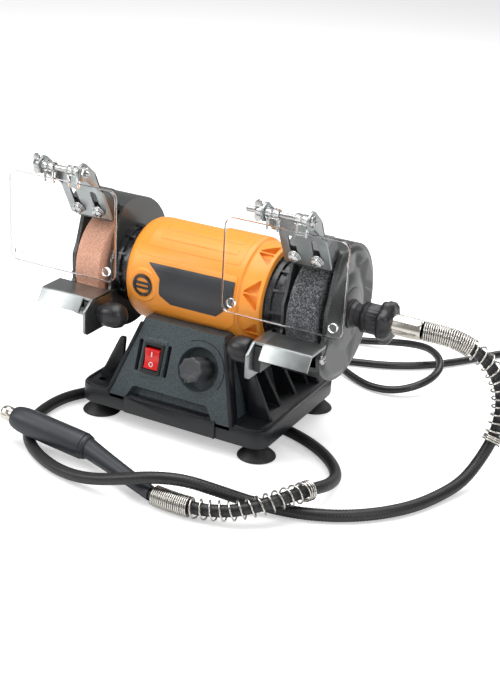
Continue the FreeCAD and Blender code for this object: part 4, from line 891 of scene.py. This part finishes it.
def build_rests():
    for name, side in SIDES:
        bend = rounded([(-39, 90), (-60.4, 90), (-66.6, 80.4), (-66.7, 80.3), (-65, 79.3), (-59.6, 88.2), (-59.2, 88.1),
                        (-39, 88)], [0.2, 2.6, 0.2, 0.2, 0.2, 1.2, 1.2, 0.2])
        shift = 1.0
        bend = [(y, z + shift) for y, z in bend]
        near, far = sorted((side * 71, side * 106))
        folded = plate(bend, near, far, lambda a, b, c: (c, a, b), 0.25)
        inner = rounded([(-39, 91), (-60.6, 91), (-60.6, 89), (-39, 89)], 0.3)
        start, end = sorted((side * 63, side * 71.2))
        shelf = plate(inner, start, end, lambda a, b, c: (c, a, b), 0.2)
        flange = rounded([(-70, 66), (-36, 66), (-36, 90.6), (-61, 90.6), (-70, 84)], [5, 5, 0.5, 4, 3])
        low, high = sorted((side * 63, side * 65))
        wall = plate(flange, low, high, lambda a, b, c: (c, a, b), 0.25)
        slot_low, slot_high = sorted((side * 60, side * 68))
        slot = plate(rounded([(-66, 75.7), (-41, 75.7), (-41, 82.3), (-66, 82.3)], 3.2), slot_low, slot_high,
                     lambda a, b, c: (c, a, b), 0)
        wall = combined(wall, [slot])
        piece("rest_sheet_" + name, merged(folded, shelf, wall), LOOKS["zinc"], "tool_rest_" + name,
              ["tool_rest_" + name])
        base = side * 62.7
        dome = [(base, 3), (base, 5.6), (base - side * 4, 5.8), (base - side * 4.3, 8.0), (base - side * 5.4, 8.9),
                (base - side * 9, 9.25), (base - side * 14.5, 9.1), (base - side * 18.4, 7.6), (base - side * 20.7, 4.8),
                (base - side * 21.8, 1.8), (base - side * 22, 0.2)]
        knob = lathe(dome, (0, -52, 79), (1, 0, 0), 72, lambda angle, along: 1 - 0.018 * (1 - math.cos(5 * angle)))
        low_x, high_x = sorted((side * 61, side * 70))
        stud = lathe([(low_x, 2.97), (high_x, 2.97)], (0, -52, 79), (1, 0, 0), 32)
        piece("rest_knob_dome_" + name, merged(knob, stud), LOOKS["knob_black"], "rest_knob_" + name,
              ["rest_knob_" + name], smooth=60)


# ---------------------------------------------------------------- coupling, flexible shaft and handpiece

def build_coupling():
    axis_point = (0, 0, SPINDLE_Z)
    spigot = lathe([(105.5, 5.6), (105.5, 10.2), (107.6, 10.2), (108.2, 9.2), (110.6, 8.6), (111, 8), (123.9, 8),
                    (123.9, 5.6)], axis_point, (1, 0, 0), 64)
    piece("spigot_body", spigot, LOOKS["knob_black"], "frame", ["coupling_spigot"])
    collar = lathe([(115.2, 8.2), (115.2, 9.8), (116, 10.5), (119, 10.5), (119.4, 9.8), (120, 9.8), (120.4, 10.5),
                    (127.6, 10.5), (128.3, 9.9)], axis_point, (1, 0, 0), 96,
                   lambda angle, along: 1 - 0.03 * (0.5 - 0.5 * math.cos(24 * angle)) * (along > 120.2))

    def lobes(angle, along):
        return 0.94 + 0.06 * math.cos(7 * angle + 0.3)

    star = lathe([(128.2, 8.2), (128.2, 12.4), (129, 14.3), (130.5, 15.2), (134.5, 15.0), (136.8, 13.0), (137.8, 10.2),
                  (137.9, 7.4)], axis_point, (1, 0, 0), 144, lobes)
    piece("nut_body", merged(collar, star), LOOKS["knob_black"], "coupling_nut", ["coupling_nut"], smooth=45)
    ferrule = lathe([(124.5, 5), (124.5, 7.2), (150, 7.2), (151, 7.0), (155, 7.0), (157.2, 6.7), (157.9, 6.2),
                     (157.9, 4.6)], axis_point, (1, 0, 0), 72)
    piece("ferrule_body", ferrule, LOOKS["nickel"], "frame", ["coupling_ferrule"])


# The flexible shaft's route; its two humps are as low as what they cross allows.
SHEATH_ROUTE = [
    (158, 0, 100.6), (173, 3, 100), (188, 7, 95), (201, 12, 85), (210, 16, 70), (213, 18, 52), (212, 14, 33),
    (207, 3, 17), (202, -14, 7), (194, -36, 4.3), (184, -60, 4.3), (167, -82, 4.3), (145, -99, 4.3),
    (119, -109, 4.3), (96, -117, 8), (77, -127, 15), (59, -136, 21), (40, -144, 21), (19, -148, 15),
    (-4, -149, 8), (-28, -146, 4.5), (-53, -137, 4.3), (-75, -121, 4.3), (-89, -99, 4.3), (-94, -75, 4.3),
    (-92, -50, 4.3), (-79, -29, 4.3), (-58, -16, 4.3), (-30, -8, 4.3), (2, -3, 4.3), (34, -2, 4.3),
    (64, -6, 4.3), (90, -15, 4.3), (112, -30, 4.3), (127, -50, 5.5), (132, -73, 11), (129, -95, 17),
    (120, -115, 17.5), (105, -131, 13), (88, -140, 9), (63, -145, 7.5), (38, -142, 7.5),
]
LEAD_ROUTE = [
    (10, 84.6, 17.7), (14, 99, 15), (24, 110, 12), (38, 116, 8), (55, 114, 5), (71, 105, 3.2), (88, 97, 3.2),
    (107, 98, 4.5), (122, 108, 8.5), (130, 125, 12.5), (128, 145, 16), (112, 165, 16.5), (92, 177, 12),
    (70, 181, 7), (47, 177, 3.5), (23, 172, 3.2), (-2, 172, 3.2), (-27, 171, 3.2), (-47, 161, 3.2),
    (-57, 141, 3.2), (-54, 120, 3.2), (-38, 105, 3.2), (-16, 102, 3.2), (8, 111, 3.2), (32, 124, 3.2),
    (57, 133, 3.2), (85, 143, 3.2), (111, 162, 3.2), (132, 188, 3.2), (150, 216, 3.2), (166, 239, 3.2),
]
SHEATH_R, LEAD_R = 4.1, 3.0


def nurbs(name, points, bevel=0.0):
    curve = bpy.data.curves.new(name, "CURVE")
    curve.dimensions = "3D"
    curve.resolution_u = 8
    spline = curve.splines.new("NURBS")
    spline.points.add(len(points) - 1)
    for target, point in zip(spline.points, points):
        target.co = (*metres(point), 1)
    spline.order_u = 3
    spline.use_endpoint_u = True
    curve.bevel_depth = bevel * MM
    curve.bevel_resolution = 5
    item = bpy.data.objects.new(name, curve)
    bpy.context.scene.collection.objects.link(item)
    return item


def line_of(curve_object):
    """The points of a route's smooth line, in millimetres."""
    data = bpy.data.meshes.new_from_object(curve_object)
    back = TO_FRAME.inverted()
    points = [back @ vertex.co for vertex in data.vertices]
    bpy.data.meshes.remove(data)
    return points


class Track:
    """A smooth line that can be read at any distance, with side directions that don't twist."""

    def __init__(self, points):
        self.points = points
        self.at = [0.0]
        for a, b in zip(points, points[1:]):
            self.at.append(self.at[-1] + (b - a).length)
        self.length = self.at[-1]
        self.side = [side_axes((points[1] - points[0]).normalized())[0]]
        for i in range(1, len(points)):
            ahead = (points[min(i + 1, len(points) - 1)] - points[i - 1]).normalized()
            side = self.side[-1] - ahead * self.side[-1].dot(ahead)
            self.side.append(side.normalized())

    def read(self, distance):
        """The point, the direction and the side direction at a distance."""
        distance = min(max(distance, 0), self.length)
        low, high = 0, len(self.at) - 1
        while high - low > 1:
            middle = (low + high) // 2
            if self.at[middle] <= distance:
                low = middle
            else:
                high = middle
        share = (distance - self.at[low]) / (self.at[high] - self.at[low])
        point = self.points[low].lerp(self.points[high], share)
        before = self.points[max(low - 1, 0)]
        after = self.points[min(high + 1, len(self.points) - 1)]
        ahead = (after - before).normalized()
        side = self.side[low].lerp(self.side[high], share)
        side = (side - ahead * side.dot(ahead)).normalized()
        return point, ahead, side


def tube_along(track, start, end, step, radius, segments=20):
    """A tube whose radius is a function of the distance."""
    mesh = bmesh.new()
    count = max(2, int((end - start) / step))
    rings = []
    for k in range(count + 1):
        distance = start + (end - start) * k / count
        point, ahead, side = track.read(distance)
        other = ahead.cross(side)
        reach = radius(distance)
        rings.append([mesh.verts.new(point + (side * math.cos(a) + other * math.sin(a)) * reach)
                      for a in (2 * math.pi * i / segments for i in range(segments))])
    for near, far in zip(rings, rings[1:]):
        for i in range(segments):
            k = (i + 1) % segments
            mesh.faces.new((near[i], near[k], far[k], far[i]))
    mesh.faces.new(rings[0][::-1])
    mesh.faces.new(rings[-1])
    bmesh.ops.recalc_face_normals(mesh, faces=mesh.faces)
    return mesh


def helix(name, track, stretches, radius, wire):
    """A wound spring along a track. stretches are (start, end, pitch), one after the other."""
    points = []
    angle = 0.0
    for start, end, pitch in stretches:
        steps = max(8, int(abs(end - start) / pitch * 14))
        for k in range(steps):
            distance = start + (end - start) * k / steps
            point, ahead, side = track.read(distance)
            other = ahead.cross(side)
            points.append(point + (side * math.cos(angle) + other * math.sin(angle)) * radius)
            angle += 2 * math.pi * abs(end - start) / pitch / steps
    curve = bpy.data.curves.new(name, "CURVE")
    curve.dimensions = "3D"
    spline = curve.splines.new("POLY")
    spline.points.add(len(points) - 1)
    for target, point in zip(spline.points, points):
        target.co = (*metres(point), 1)
    curve.bevel_depth = wire / 2 * MM
    curve.bevel_resolution = 2
    curve.use_fill_caps = True
    item = bpy.data.objects.new(name, curve)
    bpy.context.scene.collection.objects.link(item)
    curve.materials.append(LOOKS["spring_steel"])
    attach(item, "frame")
    return item


def build_flexible_shaft():
    guide = nurbs("sheath_guide", SHEATH_ROUTE)
    track = Track(line_of(guide))
    curve = guide.data
    bpy.data.objects.remove(guide)
    bpy.data.curves.remove(curve)
    pitch = 2.2

    def ribbed(distance):
        return SHEATH_R - 0.16 * (0.5 - 0.5 * math.cos(2 * math.pi * distance / pitch)) ** 2

    sheath = piece("sheath_tube", tube_along(track, 0, track.length, pitch / 4, ribbed, 18), LOOKS["sheath_black"],
                   "frame", ["flex_sheath"], smooth=70)
    near = helix("near_spring", track, [(0.5, 34, 1.45), (34, 104, 6.4), (104, 109, 1.5)], 6.3, 1.25)
    end = track.length
    far = helix("far_spring", track, [(end - 112, end - 107, 1.5), (end - 107, end - 30, 6.2), (end - 30, end - 3, 1.45)],
                6.3, 1.2)
    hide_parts("bend_springs")
    return track


def build_handpiece(track):
    rise = math.radians(6.2)
    nose = Vector((-math.cos(rise), 0, math.sin(rise)))
    back = Vector((-24, -121.3, 12.6))
    grip = [(0, 4.5), (0, 7.6), (0.8, 8.3), (2, 8.6), (3.4, 8.6), (3.9, 9.2), (8, 9.3), (30, 9.3), (48, 9.2), (54, 8.9),
            (58, 8.2), (60.4, 7.4), (61.6, 6.6), (62, 5.9), (62, 5.3)]
    body = lathe(grip, back, nose, 72)
    side, other = side_axes(nose)

    def on_grip(across, up, out):
        angle = up / 9.3
        return back + nose * across + (other * -math.cos(angle) + side * math.sin(angle)) * (9.3 + out)

    hatch = plate(rounded(box_outline((45, 0), 9, 6.4), 1), -0.5, 0.5, on_grip, 0.25, slices=1.0)
    marks = [plate(box_outline((x, 0), 0.5, 4.4), 0.3, 0.8, on_grip, 0, slices=1.0) for x in (42.5, 45, 47.5)]
    piece("handpiece_body", merged(body, hatch, *marks), LOOKS["slate_grip"], "frame", ["handpiece_grip"], smooth=40)
    end, ahead, _ = track.read(track.length)
    mesh = bmesh.new()
    stations = [(0, 4.9), (0.06, 5.1), (0.25, 5.3), (0.5, 5.7), (0.75, 6.3), (0.9, 6.8), (1, 7.2), (1.03, 7.2)]
    rings = []
    for share, radius in stations:
        centre = end.lerp(back, share)
        direction = ahead.lerp(nose, share).normalized()
        first, second = side_axes(direction)
        rings.append([mesh.verts.new(centre + (first * math.cos(a) + second * math.sin(a)) * radius)
                      for a in (2 * math.pi * i / 48 for i in range(48))])
    for one, two in zip(rings, rings[1:]):
        for i in range(48):
            k = (i + 1) % 48
            mesh.faces.new((one[i], one[k], two[k], two[i]))
    mesh.faces.new(rings[0][::-1])
    mesh.faces.new(rings[-1])
    bmesh.ops.recalc_face_normals(mesh, faces=mesh.faces)
    piece("boot_body", mesh, LOOKS["slate_grip"], "frame", ["handpiece_boot"], smooth=60)
    collet = [(62.4, 4.9), (62.4, 5.2), (64, 5.2), (64.4, 4.8), (65, 4.8), (65.4, 5.2), (69.6, 5.1), (70.8, 4.4), (71.6, 3.4),
              (71.8, 2.6), (71.8, 1.65), (66, 1.6)]
    nut = lathe(collet, back, nose, 72, lambda angle, along: 1 - (0.05 * (0.5 - 0.5 * math.cos(12 * angle))
                                                                   if 65.2 < along < 70 else 0))
    piece("collet_body", nut, LOOKS["nickel"], "handpiece_rotor", ["collet_nut"], smooth=40)


# ---------------------------------------------------------------- mains lead

COIL = (212, 240)
PLUG_NECK = (251, 213, 7.7)


def coil_points():
    """Three layers of turns: in along the floor, out above it, and up over the rim to the plug."""
    points = []
    entry, turns, step = 148.5, 3.41, 24
    count = round(turns * 360 / step)
    for k in range(count + 1):
        turn = turns * k / count
        inward = 38.6 - 6.1 * min(turn, 1.35)
        outward = 30.4 + 6.3 * max(0, min(turn - 1.55, 1.4))
        radius = inward + (outward - inward) * smooth_step(1.25, 1.6, turn)
        radius -= 1.5 * smooth_step(0.25, 0.0, turn)
        layer = smooth_step(1.15, 1.6, turn) + smooth_step(2.6, 3.0, turn)
        angle = math.radians(entry - turn * 360)
        points.append((COIL[0] + radius * math.cos(angle), COIL[1] + radius * math.sin(angle), 3.2 + 6.15 * layer))
    return points


def build_lead():
    tail = [(251, 229, 13.5), (251, 220, 9.5), PLUG_NECK]
    lead = nurbs("mains_cord", LEAD_ROUTE + coil_points() + tail, LEAD_R)
    lead.data.use_fill_caps = True
    lead.data.materials.append(LOOKS["lead_black"])
    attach(lead, "frame")
    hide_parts("mains_lead", "lead_coil", "lead_tail")
    gland_profile = [(0, 5.8), (2, 6.3), (4, 6.3), (4.6, 5.4)]
    for k in range(5):
        start, radius = 5 + k * 3.6, 5.4 - k * 0.36
        gland_profile += [(start, radius), (start + 2.4, radius - 0.2), (start + 2.7, radius - 0.9), (start + 3.4, radius - 0.9)]
    gland_profile += [(23.2, 3.8), (24, 3.5), (24, 3.1)]
    gland = piece("gland_body", lathe(gland_profile, (10, 60, 17.7), (0, 1, 0), 40), LOOKS["rubber_black"], "frame",
                  ["cord_gland"])
    x, y, z = PLUG_NECK
    outline = rounded([(x - 17, y - 38), (x + 17, y - 38), (x + 17, y - 20), (x + 10, y - 11), (x - 10, y - 11), (x - 17, y - 20)],
                      [3, 3, 5, 4, 4, 5])
    shell = plate(outline, 0.3, 15.1, None, 2.2)
    neck = lathe([(0, 3.2), (0, 4.2), (2.6, 4.4), (3, 3.8), (4, 3.8), (4.4, 4.9), (7, 5.2), (7.4, 4.4), (8.4, 4.4),
                  (8.8, 5.8), (13, 6.6)], (x, y, z), (0, -1, 0), 40)
    plug = piece("plug_shell", merged(shell, neck), LOOKS["lead_black"], "frame", ["plug_body"])
    pins = [lathe([(0, 2.0), (16.5, 2.0), (18.2, 1.6), (19, 0.9), (19, 0.2)], (x + side * 9.3, y - 38, z), (0, -1, 0), 32)
            for side in (-1, 1)]
    pin_pair = piece("plug_pin_pair", merged(*pins), LOOKS["nickel"], "frame", ["plug_pins"])
    length = Track(line_length_points(LEAD_ROUTE + coil_points() + tail)).length


def line_length_points(points):
    guide = nurbs("length_guide", points)
    line = line_of(guide)
    curve = guide.data
    bpy.data.objects.remove(guide)
    bpy.data.curves.remove(curve)
    return line


# ---------------------------------------------------------------- light, floor and camera

CAMERA_AT = (413.8, -761.3, 425.0)
AZIMUTH, ELEVATION, ROLL = (math.radians(a) for a in (26.69, 23.49, 3.44))
LENS = 66.86


def build_camera():
    back = Vector((math.sin(AZIMUTH) * math.cos(ELEVATION), -math.cos(AZIMUTH) * math.cos(ELEVATION),
                   math.sin(ELEVATION)))
    right = (-back).cross(Vector((0, 0, 1))).normalized()
    up = right.cross(-back)
    rolled_right = right * math.cos(ROLL) + up * math.sin(ROLL)
    rolled_up = up * math.cos(ROLL) - right * math.sin(ROLL)
    camera = bpy.data.objects.new("camera", bpy.data.cameras.new("camera"))
    camera.data.lens = LENS
    camera.data.sensor_width = 36
    camera.data.sensor_fit = "AUTO"
    camera.matrix_world = Matrix((rolled_right, rolled_up, back)).transposed().to_4x4()
    camera.location = metres(CAMERA_AT)
    bpy.context.scene.collection.objects.link(camera)
    bpy.context.scene.camera = camera


def area_light(name, at, toward, size, power):
    light = bpy.data.lights.new(name, "AREA")
    light.shape = "RECTANGLE"
    light.size, light.size_y = size
    light.energy = power
    item = bpy.data.objects.new(name, light)
    item.location = at
    item.rotation_euler = (Vector(toward) - Vector(at)).to_track_quat("-Z", "Y").to_euler()
    bpy.context.scene.collection.objects.link(item)


def build_studio():
    area_light("overhead", (-0.1, 0.1, 1.5), (0, 0, 0.08), (1.3, 1.3), 22)
    area_light("key", (-0.9, -0.8, 0.9), (0, 0, 0.08), (0.5, 0.9), 8)
    area_light("fill", (1.2, -0.6, 0.8), (0, 0, 0.08), (0.4, 0.9), 5)
    area_light("rim", (0.3, 1.2, 1.0), (0, 0, 0.1), (1.2, 0.4), 6)
    world = bpy.data.worlds.new("studio")
    bpy.context.scene.world = world
    world.use_nodes = True
    nodes, links = world.node_tree.nodes, world.node_tree.links
    nodes["Background"].inputs["Color"].default_value = (1, 1, 1, 1)
    nodes["Background"].inputs["Strength"].default_value = 0.32
    seen = nodes.new("ShaderNodeBackground")
    seen.inputs["Color"].default_value = (1, 1, 1, 1)
    path = nodes.new("ShaderNodeLightPath")
    either = nodes.new("ShaderNodeMath")
    either.operation = "MAXIMUM"
    links.new(path.outputs["Is Camera Ray"], either.inputs[0])
    links.new(path.outputs["Is Transmission Ray"], either.inputs[1])
    mix = nodes.new("ShaderNodeMixShader")
    links.new(either.outputs[0], mix.inputs["Fac"])
    links.new(nodes["Background"].outputs[0], mix.inputs[1])
    links.new(seen.outputs[0], mix.inputs[2])
    links.new(mix.outputs[0], nodes["World Output"].inputs["Surface"])
    build_floor()
    bpy.context.scene.view_settings.view_transform = "Standard"


def build_floor():
    """A pale floor that reads white where it is lit and keeps the object's shadow."""
    mesh = bmesh.new()
    bmesh.ops.create_grid(mesh, x_segments=1, y_segments=1, size=6)
    floor = loose_object(mesh, "floor")
    floor.location.z = -0.0002
    material = new_material("floor", (0.9, 0.9, 0.9), 0.9)
    nodes, links = material.node_tree.nodes, material.node_tree.links
    glow = nodes.new("ShaderNodeEmission")
    path = nodes.new("ShaderNodeLightPath")
    either = nodes.new("ShaderNodeMath")
    either.operation = "MAXIMUM"
    links.new(path.outputs["Is Camera Ray"], either.inputs[0])
    links.new(path.outputs["Is Transmission Ray"], either.inputs[1])
    level = nodes.new("ShaderNodeMath")
    level.operation = "MULTIPLY"
    level.inputs[1].default_value = 0.42
    links.new(either.outputs[0], level.inputs[0])
    links.new(level.outputs[0], glow.inputs["Strength"])
    both = nodes.new("ShaderNodeAddShader")
    links.new(nodes["Principled BSDF"].outputs[0], both.inputs[0])
    links.new(glow.outputs[0], both.inputs[1])
    links.new(both.outputs[0], nodes["Material Output"].inputs["Surface"])
    floor.data.materials.append(material)


dress_cad_nodes()
build_camera()
build_studio()
build_base()
build_switch()
build_dial()
build_feet()
build_motor()
build_brush_caps()
build_hubs()
build_wheels()
build_guards()
build_screws()
build_brackets()
build_wings()
build_shields()
build_rests()
build_coupling()
shaft_track = build_flexible_shaft()
build_handpiece(shaft_track)
build_lead()
